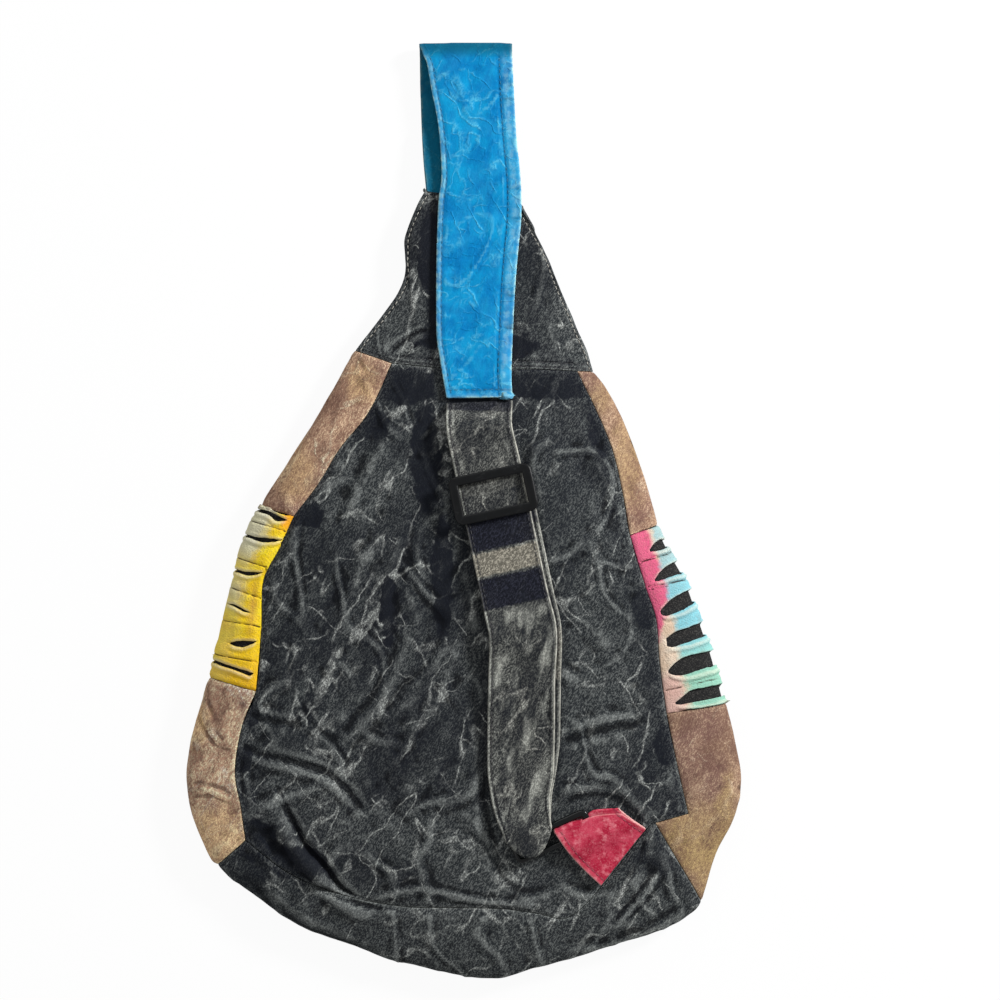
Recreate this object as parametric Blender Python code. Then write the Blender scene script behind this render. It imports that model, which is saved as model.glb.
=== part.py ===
# Sling backpack lying on its front, back panel and strap up.
# Metres, +Z up, +Y towards the strap fold, origin under the middle of the bag on the floor.
# The skin is one pillow surface cut into sewn panels. A place on it is a turn around BODY_CENTRE
# (0 is straight down the photo, -Y) and a latitude: +90 back, 0 side edge, -90 front.
import math

import bmesh
import bpy
import numpy as np
from mathutils import Matrix, Vector

MM = 0.001

# driving sizes
SEAM_GAP = 0.0003        # between two sewn or touching pieces
FABRIC = 0.0014          # cotton panel
BACKING = 0.0010         # plain cloth behind the slashed inserts
BACK_LOFT = 0.0170       # rise of the back above the side edge
EDGE_HEIGHT = 0.0120     # side edge above the floor, along the body
NECK_LOFT = 0.0060       # the same rise at the neck
NECK_DEPTH = 0.0040      # side edge of the neck above its front
NECK_LIFT = 0.0062       # front of the neck above the floor
NECK_FROM = -0.0350      # the neck's lift starts here, along Y
NECK_FULL = 0.0200       # and is complete here
FRONT_FLAT = 0.86        # share of the front that lies flat
FRONT_SEAM = 0.93        # front seam, as a share of the way from centre to edge
BACK_POWER = 3.0         # how boxy the back's rise is

WEBBING = 0.0012         # folded cotton webbing
WEB_WIDTH = 0.0385
WEB_END_WIDTH = 0.0210   # bunched where it passes the ring
WEB_OFFSET = 0.0011      # return run shows this far right of the front run
TAIL = 0.0160            # stitched end beyond the adjuster's centre bar
STRAP = 0.0024           # blue strap, several layers
STRAP_NECK_WIDTH = 0.0560
STRAP_END_WIDTH = 0.0390
FOLD_RADIUS = 0.0045     # blue strap's fold, to its middle layer

SLIDER_LENGTH = 0.0500   # across the strap
SLIDER_DEPTH = 0.0290    # along the strap
SLIDER_RAIL = 0.0042     # width of the outer bars
SLIDER_BAR = 0.0025      # thickness of outer bars and of the centre bar
CENTRE_BAR_DEPTH = 0.0050
SLIDE_UP = 0.026
SLIDE_DOWN = 0.070
FREE = 0.0004            # play between the strap and the plastic

RING_LENGTH = 0.0536
RING_DEPTH = 0.0149
RING_BAR = 0.0032

TAB_LAYER = 0.0013
TAB_FOLD_END = 0.0050    # the tab's fold ends this far inside the ring's end

ZIP_LENGTH = 0.1400
ZIP_SLOT = 0.0100
ZIP_Y = 0.0320
ZIP_TAPE = 0.0080
ZIP_TAPE_THICK = 0.0008
TOOTH_PITCH = 0.0040
TOOTH_WIDTH = 0.0014
TOOTH_THICK = 0.0020
TOOTH_ROOT = 0.0022      # outer edge of a tooth row, from the closing line
TOOTH_REACH = 0.0006     # how far a tooth crosses that line
ZIP_SLIDER_LENGTH = 0.0095
ZIP_SLIDER_WIDTH = 0.0084
ZIP_PLATE = 0.0010
ZIP_FREE = 0.0003        # play of the zip slider around tape and teeth
STOP_LENGTH = 0.0016
PULL_LENGTH = 0.0200
PULL_WIDTH = 0.0056
PULL_THICK = 0.0012
PULL_BAR = 0.0010         # bar of the pull that turns in the bail
BAIL = 0.0008

SLASH_SLIT = 0.0010      # least opening of a slash, at its ends

# outline and seam points, in millimetres
BODY_CENTRE = (0.3, -78.6)
LEFT_EDGE = [(-65.1, 95.4), (-74.1, 79.8), (-87.3, 55.8), (-102.3, 31.8), (-117.9, 7.8),
             (-130.5, -16.2), (-140.7, -52.2), (-149.1, -88.2), (-155.7, -112.2), (-162.9, -135.0),
             (-166.5, -160.2), (-163.5, -183.6), (-152.7, -208.2), (-147.9, -214.2)]
BOTTOM_EDGE = [(-147.9, -214.2), (-133.5, -225.6), (-107.7, -244.2), (-83.7, -256.2),
               (-49.5, -268.2), (-19.5, -276.6), (10.5, -281.4), (29.1, -280.2), (69.9, -268.2),
               (110.7, -256.2), (136.5, -244.2), (143.7, -235.8)]
RIGHT_EDGE = [(143.7, -235.8), (151.5, -208.2), (163.5, -183.6), (166.5, -160.2), (162.9, -136.2),
              (156.9, -112.2), (150.3, -88.2), (141.9, -64.2), (132.9, -40.2), (119.7, -16.2),
              (109.5, 19.8), (101.1, 43.8), (89.1, 67.8), (78.9, 82.8)]
YOKE_RIGHT = [(78.9, 82.8), (73.5, 98.4), (64.5, 119.4), (49.5, 155.4), (35.1, 182.4)]
YOKE_TIP = [(35.1, 182.4), (4.5, 188.4), (-23.1, 192.6)]
YOKE_LEFT = [(-23.1, 192.6), (-30.9, 177.0), (-35.7, 161.4), (-35.1, 145.8), (-39.9, 130.2),
             (-54.3, 109.8), (-65.1, 95.4)]
HEM = [(-42.9, 87.6), (-19.5, 85.2), (10.5, 84.0), (40.5, 84.0), (68.7, 82.8)]
LEFT_SEAM_UPPER = [(-42.9, 87.6), (-56.1, 58.8), (-73.5, 36.6), (-86.7, 15.0), (-101.1, -4.2)]
LEFT_SEAM_INSERT = [(-101.1, -4.2), (-109.5, -23.4), (-119.1, -42.6), (-120.3, -72.6),
                    (-123.3, -108.6)]
LEFT_SEAM_LOWER = [(-123.3, -108.6), (-131.7, -129.6), (-135.9, -156.6), (-132.3, -178.2),
                   (-129.9, -198.0)]
RIGHT_SEAM_UPPER = [(68.7, 82.8), (81.3, 56.4), (89.7, 35.4), (95.7, 10.2), (99.9, -15.6)]
RIGHT_SEAM_INSERT = [(99.9, -15.6), (108.9, -45.6), (115.5, -66.0), (117.3, -90.6),
                     (121.5, -121.8)]
RIGHT_SEAM_LOWER = [(121.5, -121.8), (128.1, -153.6), (134.7, -181.8)]
RIGHT_FOLD_END = (114.9, -187.2)
BOTTOM_SEAM = [(-129.9, -198.0), (-103.5, -217.8), (-71.7, -230.4), (-37.5, -237.0), (-8.0, -237.8),
               (22.5, -238.2), (45.0, -241.5), (62.7, -244.2), (81.9, -226.2), (109.5, -190.8),
               (114.9, -187.2)]
LEFT_EDGE_CUTS = [(-122.7, 1.8), (-151.5, -100.8)]
RIGHT_EDGE_CUTS = [(117.3, -9.6), (158.1, -116.4)]
STRAP_UNDER = [(5.7, 190.5), (3.6, 215.0), (2.2, 245.0), (1.5, 270.0)]
STRAP_OVER = [(1.5, 281.4), (4.5, 251.4), (9.0, 215.0), (10.5, 190.0), (9.3, 155.4), (7.5, 107.4),
              (9.0, 85.0), (9.9, 64.8)]
WEB_LOWER = [(35.0, -102.6), (34.5, -150.6), (34.7, -172.0), (38.5, -190.0), (42.0, -206.0)]
SLIDER_CENTRE = (18.3, 8.4)
SLIDE_TOWARDS = (33.0, -61.0)
RING_FROM = (25.5, -199.8)
RING_TO = (74.7, -178.2)
TAB_TOP = [(54.6, -191.6), (66.3, -186.2), (78.5, -181.2), (93.9, -180.0)]
TAB_SEAM = [(82.1, -223.6), (108.6, -189.4)]

# slashes: place down the insert and opening at its middle, in millimetres
LEFT_SLASHES = [(0.07, 3.0), (0.20, 3.0), (0.38, 4.0), (0.55, 3.0), (0.76, 5.0), (0.91, 5.0)]
RIGHT_SLASHES = [(0.13, 6.0), (0.32, 8.0), (0.50, 9.0), (0.69, 10.0), (0.88, 9.0)]

UPPER_ROWS = 6
INSERT_ROWS = 13
LOWER_ROWS = 6
BACK_COLUMNS = 4         # gusset columns from the back seam to the side edge
FRONT_COLUMNS = 4        # and on to the front seam
YOKE_ROWS = 8
EDGE_CROWDING = 1.6      # crowds gusset columns towards the side edge


# curves

def smooth(points, steps=8):
    """Catmull-Rom curve through the points, in metres."""
    p = np.array(points, float) * MM
    ends = np.vstack([2 * p[0] - p[1], p, 2 * p[-1] - p[-2]])
    t = np.linspace(0, 1, steps, endpoint=False)[:, None]
    pieces = []
    for a, b, c, d in zip(ends, ends[1:], ends[2:], ends[3:]):
        pieces.append(0.5 * (2 * b + (c - a) * t + (2 * a - 5 * b + 4 * c - d) * t ** 2
                             + (3 * b - a - 3 * c + d) * t ** 3))
    return np.vstack(pieces + [p[-1:]])


def at_shares(curve, shares):
    """Points at shares of the curve's length."""
    run = np.concatenate([[0], np.cumsum(np.linalg.norm(np.diff(curve, axis=0), axis=1))])
    return np.stack([np.interp(np.array(shares) * run[-1], run, curve[:, k])
                     for k in range(curve.shape[1])], axis=1)


def even(curve, count):
    return at_shares(curve, np.linspace(0, 1, count + 1))


def blend(low, high, value):
    """Smooth step of value between low and high."""
    t = np.clip((value - low) / (high - low), 0, 1)
    return t * t * (3 - 2 * t)


# pillow surface

CENTRE = np.array(BODY_CENTRE) * MM
OUTLINE = np.vstack([smooth(part) for part in
                     (BOTTOM_EDGE, RIGHT_EDGE, YOKE_RIGHT, YOKE_TIP, YOKE_LEFT, LEFT_EDGE)])


def turn_of(xy):
    d = np.asarray(xy) - CENTRE
    return np.arctan2(d[..., 0], -d[..., 1])


ORDER = np.argsort(turn_of(OUTLINE), kind="stable")
OUTLINE_TURN = turn_of(OUTLINE)[ORDER]
OUTLINE_REACH = np.linalg.norm(OUTLINE - CENTRE, axis=1)[ORDER]


def reach(turn):
    """Distance from the centre to the outline."""
    return np.interp(turn, OUTLINE_TURN, OUTLINE_REACH, period=2 * math.pi)


def neck(y):
    return blend(NECK_FROM, NECK_FULL, y)


def edge_height(y):
    return EDGE_HEIGHT + (NECK_LIFT + NECK_DEPTH - EDGE_HEIGHT) * neck(y)


def front_depth(y):
    return EDGE_HEIGHT + (NECK_DEPTH - EDGE_HEIGHT) * neck(y)


def back_rise(y):
    return BACK_LOFT + (NECK_LOFT - BACK_LOFT) * blend(-0.03, 0.14, y)


def lift(xy, side):
    """Puts plan points onto the back (side 1) or the front (side -1)."""
    xy = np.asarray(xy)
    share = np.linalg.norm(xy - CENTRE, axis=-1) / reach(turn_of(xy))
    share = np.clip(share, 0, 1)
    y = xy[..., 1]
    if side > 0:
        z = edge_height(y) + back_rise(y) * np.sqrt(1 - share ** BACK_POWER)
    else:
        rim = np.clip((share - FRONT_FLAT) / (1 - FRONT_FLAT), 0, 1)
        z = edge_height(y) - front_depth(y) * np.sqrt(1 - rim ** 2)
    return np.concatenate([xy, z[..., None]], axis=-1)


def to_skin(xy, side):
    """Turn and latitude of plan points."""
    turn = turn_of(xy)
    share = np.clip(np.linalg.norm(np.asarray(xy) - CENTRE, axis=-1) / reach(turn), 0, 1)
    if side > 0:
        latitude = np.arccos(share ** (BACK_POWER / 2))
    else:
        latitude = -np.arccos(np.clip((share - FRONT_FLAT) / (1 - FRONT_FLAT), 0, 1))
    return np.stack([turn, latitude], axis=-1)


def from_skin(skin):
    """Space points of turn and latitude pairs."""
    turn, latitude = skin[..., 0], skin[..., 1]
    c = np.clip(np.cos(latitude), 0, 1)
    share = np.where(latitude >= 0, c ** (2 / BACK_POWER), FRONT_FLAT + (1 - FRONT_FLAT) * c)
    out = np.stack([np.sin(turn), -np.cos(turn)], axis=-1)
    xy = CENTRE + out * (reach(turn) * share)[..., None]
    y = xy[..., 1]
    rise = np.where(latitude >= 0, back_rise(y), front_depth(y)) * np.sin(latitude)
    return np.concatenate([xy, (edge_height(y) + rise)[..., None]], axis=-1)


def coons(top, bottom, left, right):
    """Grid filled between four edges, rows from top to bottom."""
    v = np.linspace(0, 1, len(left))[:, None, None]
    u = np.linspace(0, 1, len(top))[None, :, None]
    sides = (1 - u) * left[:, None] + u * right[:, None]
    ends = (1 - v) * top[None] + v * bottom[None]
    corners = ((1 - u) * (1 - v) * top[0] + u * (1 - v) * top[-1]
               + (1 - u) * v * bottom[0] + u * v * bottom[-1])
    return sides + ends - corners


# seams, each sampled once and shared by both pieces

FRONT_LATITUDE = -math.acos((FRONT_SEAM - FRONT_FLAT) / (1 - FRONT_FLAT))


def around(back_xy, edge_xy):
    """Cross seam in skin places: back seam, side edge, front seam."""
    back_xy = np.array(back_xy)
    edge_xy = from_skin(np.array([turn_of(edge_xy), 0.0]))[:2]
    front_xy = from_skin(np.array([turn_of(back_xy), FRONT_LATITUDE]))[:2]
    inward = np.linspace(0, 1, BACK_COLUMNS + 1)[:, None] ** EDGE_CROWDING
    back = to_skin(edge_xy + (back_xy - edge_xy) * inward, 1)[::-1]
    back[-1, 1] = 0
    inward = np.linspace(0, 1, FRONT_COLUMNS + 1)[:, None] ** EDGE_CROWDING
    front = to_skin(edge_xy + (front_xy - edge_xy) * inward, -1)
    return np.vstack([back, front[1:]])


def millimetres(point):
    return np.array(point) * MM


def band(back_seam, upper, lower):
    """Gusset grid between two cross seams, from a back seam given in plan."""
    back = to_skin(back_seam, 1)
    front_turn = np.linspace(upper[-1, 0], lower[-1, 0], len(back))
    front = np.stack([front_turn, np.full(len(back), FRONT_LATITUDE)], axis=1)
    return coons(upper, lower, back, front)


def slash_rows(skin, slashes):
    """Moves an insert's rows into pairs of slash lips; returns the kept cells too."""
    rows, columns = skin.shape[:2]
    height = np.linalg.norm(from_skin(skin)[0, BACK_COLUMNS] - from_skin(skin)[-1, BACK_COLUMNS])
    inner = np.arange(1, columns - 1)
    swell = np.sin(math.pi * (inner - 0.6) / (columns - 2.2)) ** 0.7
    lines = [np.zeros(len(inner))]
    spare = rows - 2 - 2 * len(slashes)
    first = slashes[0][0] * np.ones(len(inner))
    lines += [first * (k + 1) / (spare + 2) for k in range(spare)]
    cut_rows = []
    for place, opening in slashes:
        half = (SLASH_SLIT + (opening * MM - SLASH_SLIT) * swell) / height / 2
        cut_rows.append(len(lines))
        lines += [place - half, place + half]
    lines.append(np.ones(len(inner)))
    share = np.linspace(0, 1, rows)
    result = skin.copy()
    for column, wanted in zip(inner, np.array(lines).T):
        for k in range(2):
            result[:, column, k] = np.interp(wanted, share, skin[:, column, k])
    keep = np.ones((rows - 1, columns - 1), bool)
    for row in cut_rows:
        keep[row, 1:columns - 2] = False
    return result, keep


def build_skin():
    """All panels as grids of space points, with their kept cells and facing."""
    hem_left = around(millimetres(HEM[0]), millimetres(LEFT_EDGE[0]))
    hem_right = around(millimetres(HEM[-1]), millimetres(RIGHT_EDGE[-1]))
    cut_left = [around(millimetres(LEFT_SEAM_INSERT[k]), millimetres(LEFT_EDGE_CUTS[k]))
                for k in (0, -1)]
    cut_right = [around(millimetres(RIGHT_SEAM_INSERT[k]), millimetres(RIGHT_EDGE_CUTS[k]))
                 for k in (0, -1)]
    low_left = around(millimetres(BOTTOM_SEAM[0]), millimetres(BOTTOM_EDGE[0]))
    low_right = around(millimetres(RIGHT_FOLD_END), millimetres(BOTTOM_EDGE[-1]))

    left = [even(smooth(LEFT_SEAM_UPPER), UPPER_ROWS), even(smooth(LEFT_SEAM_INSERT), INSERT_ROWS),
            even(smooth(LEFT_SEAM_LOWER), LOWER_ROWS)]
    right = [even(smooth(RIGHT_SEAM_UPPER), UPPER_ROWS),
             even(smooth(RIGHT_SEAM_INSERT), INSERT_ROWS),
             even(smooth(RIGHT_SEAM_LOWER), LOWER_ROWS)]
    fold_end = millimetres(RIGHT_FOLD_END)
    bottom = millimetres(BOTTOM_SEAM)

    skin = {
        "left_gusset_upper": band(left[0], hem_left, cut_left[0]),
        "left_slashed_insert": band(left[1], cut_left[0], cut_left[1]),
        "left_gusset_lower": band(left[2], cut_left[1], low_left),
        "right_gusset_upper": band(right[0], hem_right, cut_right[0]),
        "right_slashed_insert": band(right[1], cut_right[0], cut_right[1]),
        "right_gusset_lower": band(np.vstack([right[2], fold_end]), cut_right[1], low_right),
    }
    back_low = to_skin(bottom, 1)
    front_turn = np.linspace(low_left[-1, 0], low_right[-1, 0], len(back_low))
    front_low = np.stack([front_turn, np.full(len(back_low), FRONT_LATITUDE)], axis=1)
    skin["bottom_panel"] = coons(low_left, low_right, back_low, front_low)

    keep = {}
    for name, slashes in (("left_slashed_insert", LEFT_SLASHES),
                          ("right_slashed_insert", RIGHT_SLASHES)):
        skin[name + "_plain"] = skin[name]
        skin[name], keep[name] = slash_rows(skin[name], slashes)

    panels = {}
    for name, grid in skin.items():
        flip = not name.startswith("right")
        panels[name] = [from_skin(grid), keep.get(name), flip]

    left_back = np.vstack([left[0], left[1][1:], left[2][1:]])
    right_back = np.vstack([right[0], right[1][1:], right[2][1:]])
    low_back = np.vstack([bottom, right[2][-1:]])
    hem_back = even(smooth(HEM), len(low_back) - 1)
    panels["back_panel"] = [lift(coons(hem_back, low_back, left_back, right_back), 1), None, False]

    def front_edge(names):
        rows = [from_skin(skin[name])[:, -1, :2] for name in names]
        return np.vstack([rows[0]] + [row[1:] for row in rows[1:]])

    left_front = front_edge(["left_gusset_upper", "left_slashed_insert", "left_gusset_lower"])
    right_front = front_edge(["right_gusset_upper", "right_slashed_insert", "right_gusset_lower"])
    low_front = np.vstack([from_skin(skin["bottom_panel"])[:, -1, :2], right_front[-2:-1]])
    top_front = np.linspace(left_front[0], right_front[0], len(low_front))
    panels["front_panel"] = [lift(coons(top_front, low_front, left_front, right_front[:-1]), -1),
                             None, True]

    edge_left = even(smooth(YOKE_LEFT)[::-1], YOKE_ROWS)[::-1]
    edge_right = even(smooth(YOKE_RIGHT), YOKE_ROWS)[::-1]
    for name, side, middle, gusset_columns in (
            ("back_yoke", 1, hem_back, slice(0, BACK_COLUMNS + 1)),
            ("front_yoke", -1, top_front, slice(BACK_COLUMNS, None))):
        step = -1 if side > 0 else 1
        a = from_skin(hem_left[gusset_columns])[::step, :2]
        b = from_skin(hem_right[gusset_columns])[::-step, :2]
        low = np.vstack([a, middle[1:-1], b])
        tip = even(smooth(YOKE_TIP)[::-1], len(low) - 1)
        grid = coons(tip, low, edge_left, edge_right)
        panels[name] = [lift(grid, side), None, side < 0]
        panels[name][0][:, 0, 2] = edge_height(grid[:, 0, 1])
        panels[name][0][:, -1, 2] = edge_height(grid[:, -1, 1])
        panels[name][0][0, :, 2] = edge_height(grid[0, :, 1])
    return panels


def welded_normals(panels):
    """Outward normals that neighbouring panels share along their seams."""
    total = {}

    def key(point):
        return tuple(np.round(point / 1e-5).astype(int))

    for name, (grid, _, flip) in panels.items():
        if name.endswith("_insert"):
            continue
        for i in range(grid.shape[0] - 1):
            for j in range(grid.shape[1] - 1):
                a, b, c, d = grid[i, j], grid[i, j + 1], grid[i + 1, j + 1], grid[i + 1, j]
                normal = np.cross(c - a, b - d) * (-1 if flip else 1)
                for point in (a, b, c, d):
                    total[key(point)] = total.get(key(point), 0) + normal
    yoke = panels["back_yoke"][0]
    for point in np.vstack([yoke[:, 0], yoke[:, -1], yoke[0]]):
        total[key(point)] = total[key(point)] * (1, 1, 0)
    return total, key


def panel_normals(grid, flip, total, key):
    normals = np.zeros_like(grid)
    down, across = np.gradient(grid, axis=0), np.gradient(grid, axis=1)
    own = np.cross(down, across) * (-1 if flip else 1)
    for index in np.ndindex(grid.shape[:2]):
        found = total.get(key(grid[index]))
        value = own[index] if found is None else found
        normals[index] = value / max(np.linalg.norm(value), 1e-12)
    return normals


def inset_edges(grid, normals, flip, gap):
    """Moves the grid's edge inwards, square to each seam."""
    rows, columns = grid.shape[:2]
    rim = ([(0, j) for j in range(columns - 1)] + [(i, columns - 1) for i in range(rows - 1)]
           + [(rows - 1, j) for j in range(columns - 1, 0, -1)]
           + [(i, 0) for i in range(rows - 1, 0, -1)])
    result = grid.copy()
    for before, place, after in zip(rim[-1:] + rim[:-1], rim, rim[1:] + rim[:1]):
        inward = []
        for a, b in ((before, place), (place, after)):
            side = np.cross(normals[place], grid[b] - grid[a]) * (1 if flip else -1)
            inward.append(side / max(np.linalg.norm(side), 1e-12))
        mitre = max(1 + inward[0] @ inward[1], 0.3)
        result[place] += gap * (inward[0] + inward[1]) / mitre
    return result


# solids

def finish(name, bm, colour, roughness=0.9, metallic=0.0):
    bmesh.ops.recalc_face_normals(bm, faces=bm.faces)
    mesh = bpy.data.meshes.new(name)
    bm.to_mesh(mesh)
    bm.free()
    material = bpy.data.materials.new(name)
    material.use_nodes = True
    shader = material.node_tree.nodes["Principled BSDF"]
    shader.inputs["Base Color"].default_value = (*colour, 1)
    shader.inputs["Roughness"].default_value = roughness
    shader.inputs["Metallic"].default_value = metallic
    mesh.materials.append(material)
    thing = bpy.data.objects.new(name, mesh)
    bpy.context.collection.objects.link(thing)
    return thing


def side_wall(bm, vertex, a, b):
    """Two triangles from outer to inner edge; both sides of a seam pick the same diagonal."""
    outer_a, outer_b, inner_a, inner_b = vertex(0, *a), vertex(0, *b), vertex(1, *a), vertex(1, *b)
    slope = Vector((0.37, 0.61, 0.70))
    if outer_a.co.dot(slope) > outer_b.co.dot(slope):
        bm.faces.new([outer_b, outer_a, inner_b])
        bm.faces.new([outer_a, inner_a, inner_b])
    else:
        bm.faces.new([outer_b, outer_a, inner_a])
        bm.faces.new([outer_b, inner_a, inner_b])


def slab(name, outer, inner, colour, keep=None):
    """Closed solid between two grids, open where keep is false."""
    rows, columns = outer.shape[:2]
    bm = bmesh.new()
    used = {}

    def vertex(side, i, j):
        if (side, i, j) not in used:
            used[side, i, j] = bm.verts.new((outer, inner)[side][i, j])
        return used[side, i, j]

    def kept(i, j):
        inside = 0 <= i < rows - 1 and 0 <= j < columns - 1
        return inside and (keep is None or keep[i, j])

    for i in range(rows - 1):
        for j in range(columns - 1):
            if not kept(i, j):
                continue
            ring = [(i, j), (i, j + 1), (i + 1, j + 1), (i + 1, j)]
            bm.faces.new([vertex(0, *place) for place in ring])
            bm.faces.new([vertex(1, *place) for place in reversed(ring)])
            across = ((i - 1, j), (i, j + 1), (i + 1, j), (i, j - 1))
            for k, other in enumerate(across):
                if not kept(*other):
                    side_wall(bm, vertex, ring[k], ring[(k + 1) % 4])
    bmesh.ops.triangulate(bm, faces=bm.faces)
    return finish(name, bm, colour)


def ribbon(name, path, across, widths, thickness, colour, columns=4):
    """Flat strap along a path of its middle layer; across is the width direction."""
    share = np.linspace(-0.5, 0.5, columns + 1)[None, :, None]
    along = np.gradient(path, axis=0)
    up = np.cross(across, along)
    up /= np.linalg.norm(up, axis=1, keepdims=True)
    middle = path[:, None] + across[:, None] * share * widths[:, None, None]
    half = up[:, None] * thickness / 2
    return slab(name, middle + half, middle - half, colour)


def box(bm, low, high, matrix=None):
    made = bmesh.ops.create_cube(bm, size=1)
    size = Vector(high) - Vector(low)
    for vert in made["verts"]:
        vert.co = Vector(low) + Vector(((vert.co.x + 0.5) * size.x, (vert.co.y + 0.5) * size.y,
                                        (vert.co.z + 0.5) * size.z))
        if matrix:
            vert.co = matrix @ vert.co
    return made


def plate(bm, outline, low, high):
    """Extruded outline between two heights."""
    bottom = [bm.verts.new((x, y, low)) for x, y in outline]
    top = [bm.verts.new((x, y, high)) for x, y in outline]
    bm.faces.new(list(reversed(bottom)))
    bm.faces.new(top)
    for k in range(len(outline)):
        n = (k + 1) % len(outline)
        bm.faces.new([bottom[k], bottom[n], top[n], top[k]])


def back_height(xy):
    return float(lift(np.asarray(xy, float), 1)[2])


def tallest(centre, across, width):
    """Highest back surface under a straight width."""
    return max(back_height(centre + across * width * k) for k in (-0.5, -0.25, 0, 0.25, 0.5))


def widths_across(path):
    """Unit width directions of a plan path that runs down the photo, pointing right."""
    along = np.gradient(path, axis=0)
    across = np.stack([-along[:, 1], along[:, 0]], axis=1)
    return across / np.linalg.norm(across, axis=1, keepdims=True)


def with_height(xy, z):
    return np.concatenate([np.asarray(xy, float), [z]])


# shoulder strap

def strap_path():
    """Blue strap's middle layer from the yoke tip, round the fold and down to the webbing."""
    under = even(smooth(STRAP_UNDER), 8)
    over = even(smooth(STRAP_OVER), 40)
    tip_height = float(edge_height(under[0, 1]))
    low = STRAP / 2 + SEAM_GAP
    drop = blend(under[0, 1], under[-1, 1], under[:, 1])
    points = [with_height(p, tip_height + (low - tip_height) * t) for p, t in zip(under, drop)]
    fold = over[0] - np.array([0, FOLD_RADIUS + STRAP / 2])
    for angle in np.radians(np.arange(-60, 91, 30)):
        points.append(np.array([fold[0], fold[1] + FOLD_RADIUS * math.cos(angle),
                                low + FOLD_RADIUS * (1 + math.sin(angle))]))
    top = low + 2 * FOLD_RADIUS
    over = over[over[:, 1] < fold[1] - 2 * FREE]
    rest = []
    for xy, across in zip(over, -widths_across(over)):
        body = tallest(xy, across, STRAP_NECK_WIDTH * 0.84) if xy[1] < YOKE_TIP[1][1] * MM else 0
        rest.append(max(body + FREE + STRAP / 2, top))
    tip_clear = tip_height + STRAP * 1.5 + FREE
    rest = [max(z, top + (tip_clear - top) * blend(fold[1], under[0, 1], xy[1]))
            for xy, z in zip(over, rest)]
    points += [with_height(xy, z) for xy, z in zip(over, rest)]
    return np.array(points)


def shoulder_strap():
    path = strap_path()
    run = np.linspace(0, 1, len(path))
    across = np.tile([1.0, 0.0, 0.0], (len(path), 1))
    tip = millimetres(YOKE_TIP[0]) - millimetres(YOKE_TIP[-1])
    across[0, :2] = tip / np.linalg.norm(tip)
    end = (path[-1] - path[-3])[:2]
    end = np.array([-end[1], end[0]]) / np.linalg.norm(end)
    for k in range(1, 5):
        across[-k, :2] = end
    widths = STRAP_NECK_WIDTH + (STRAP_END_WIDTH - STRAP_NECK_WIDTH) * blend(0.25, 1.0, run)
    ribbon("shoulder_strap", path, across, widths, STRAP, (0.02, 0.36, 0.62))
    return path[-1], end


# strap webbing, adjuster and ring

def slide_axis():
    """Adjuster's centre and the unit direction of its travel, in plan."""
    start, towards = millimetres(SLIDER_CENTRE), millimetres(SLIDE_TOWARDS)
    return start, (towards - start) / np.linalg.norm(towards - start)


def slide_base():
    """Straight line just above the back under the adjuster's whole travel: height, slope."""
    start, way = slide_axis()
    across = np.array([-way[1], way[0]])
    reach_out = SLIDER_DEPTH / 2
    places = np.linspace(-SLIDE_UP - reach_out, SLIDE_DOWN + reach_out, 15)
    heights = [tallest(start + way * a, across, SLIDER_LENGTH) for a in places]
    slope = (heights[-1] - heights[0]) / (places[-1] - places[0])
    bulge = max(h - heights[0] - slope * (a - places[0]) for a, h in zip(places, heights))
    level = heights[0] + bulge - slope * places[0]
    return lambda a: level + slope * a, slope


def above_slot():
    """Heights over the base line: return run, centre bar, wrap, front run, outer bars."""
    run = FREE + WEBBING / 2
    bar = FREE + WEBBING + FREE
    wrap = bar + SLIDER_BAR + FREE + WEBBING / 2
    front = wrap + WEBBING + FREE
    return run, bar, wrap, front, front + WEBBING / 2 + FREE


def ring_axes():
    start, end = millimetres(RING_FROM), millimetres(RING_TO)
    along = (end - start) / np.linalg.norm(end - start)
    return start, along, np.array([along[1], -along[0]])


def ring_plane():
    """Plane that rests on the back under ring and tab: height of a plan point."""
    start, along, down = ring_axes()
    spots = np.array([start + along * a + down * d for a in np.linspace(-0.005, 0.055, 7)
                      for d in np.linspace(-0.004, 0.030, 5)]
                     + [millimetres(p) for p in TAB_TOP + TAB_SEAM])
    heights = np.array([back_height(spot) for spot in spots])
    table = np.column_stack([spots, np.ones(len(spots))])
    fit = np.linalg.lstsq(table, heights, rcond=None)[0]
    fit[2] += (heights - table @ fit).max()
    return lambda xy: float(np.asarray(xy) @ fit[:2] + fit[2]), fit[:2]


def ring_height():
    """Centre of the ring's bars over that plane."""
    return FREE + max(TAB_LAYER, WEBBING) + FREE + RING_BAR / 2


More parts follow.
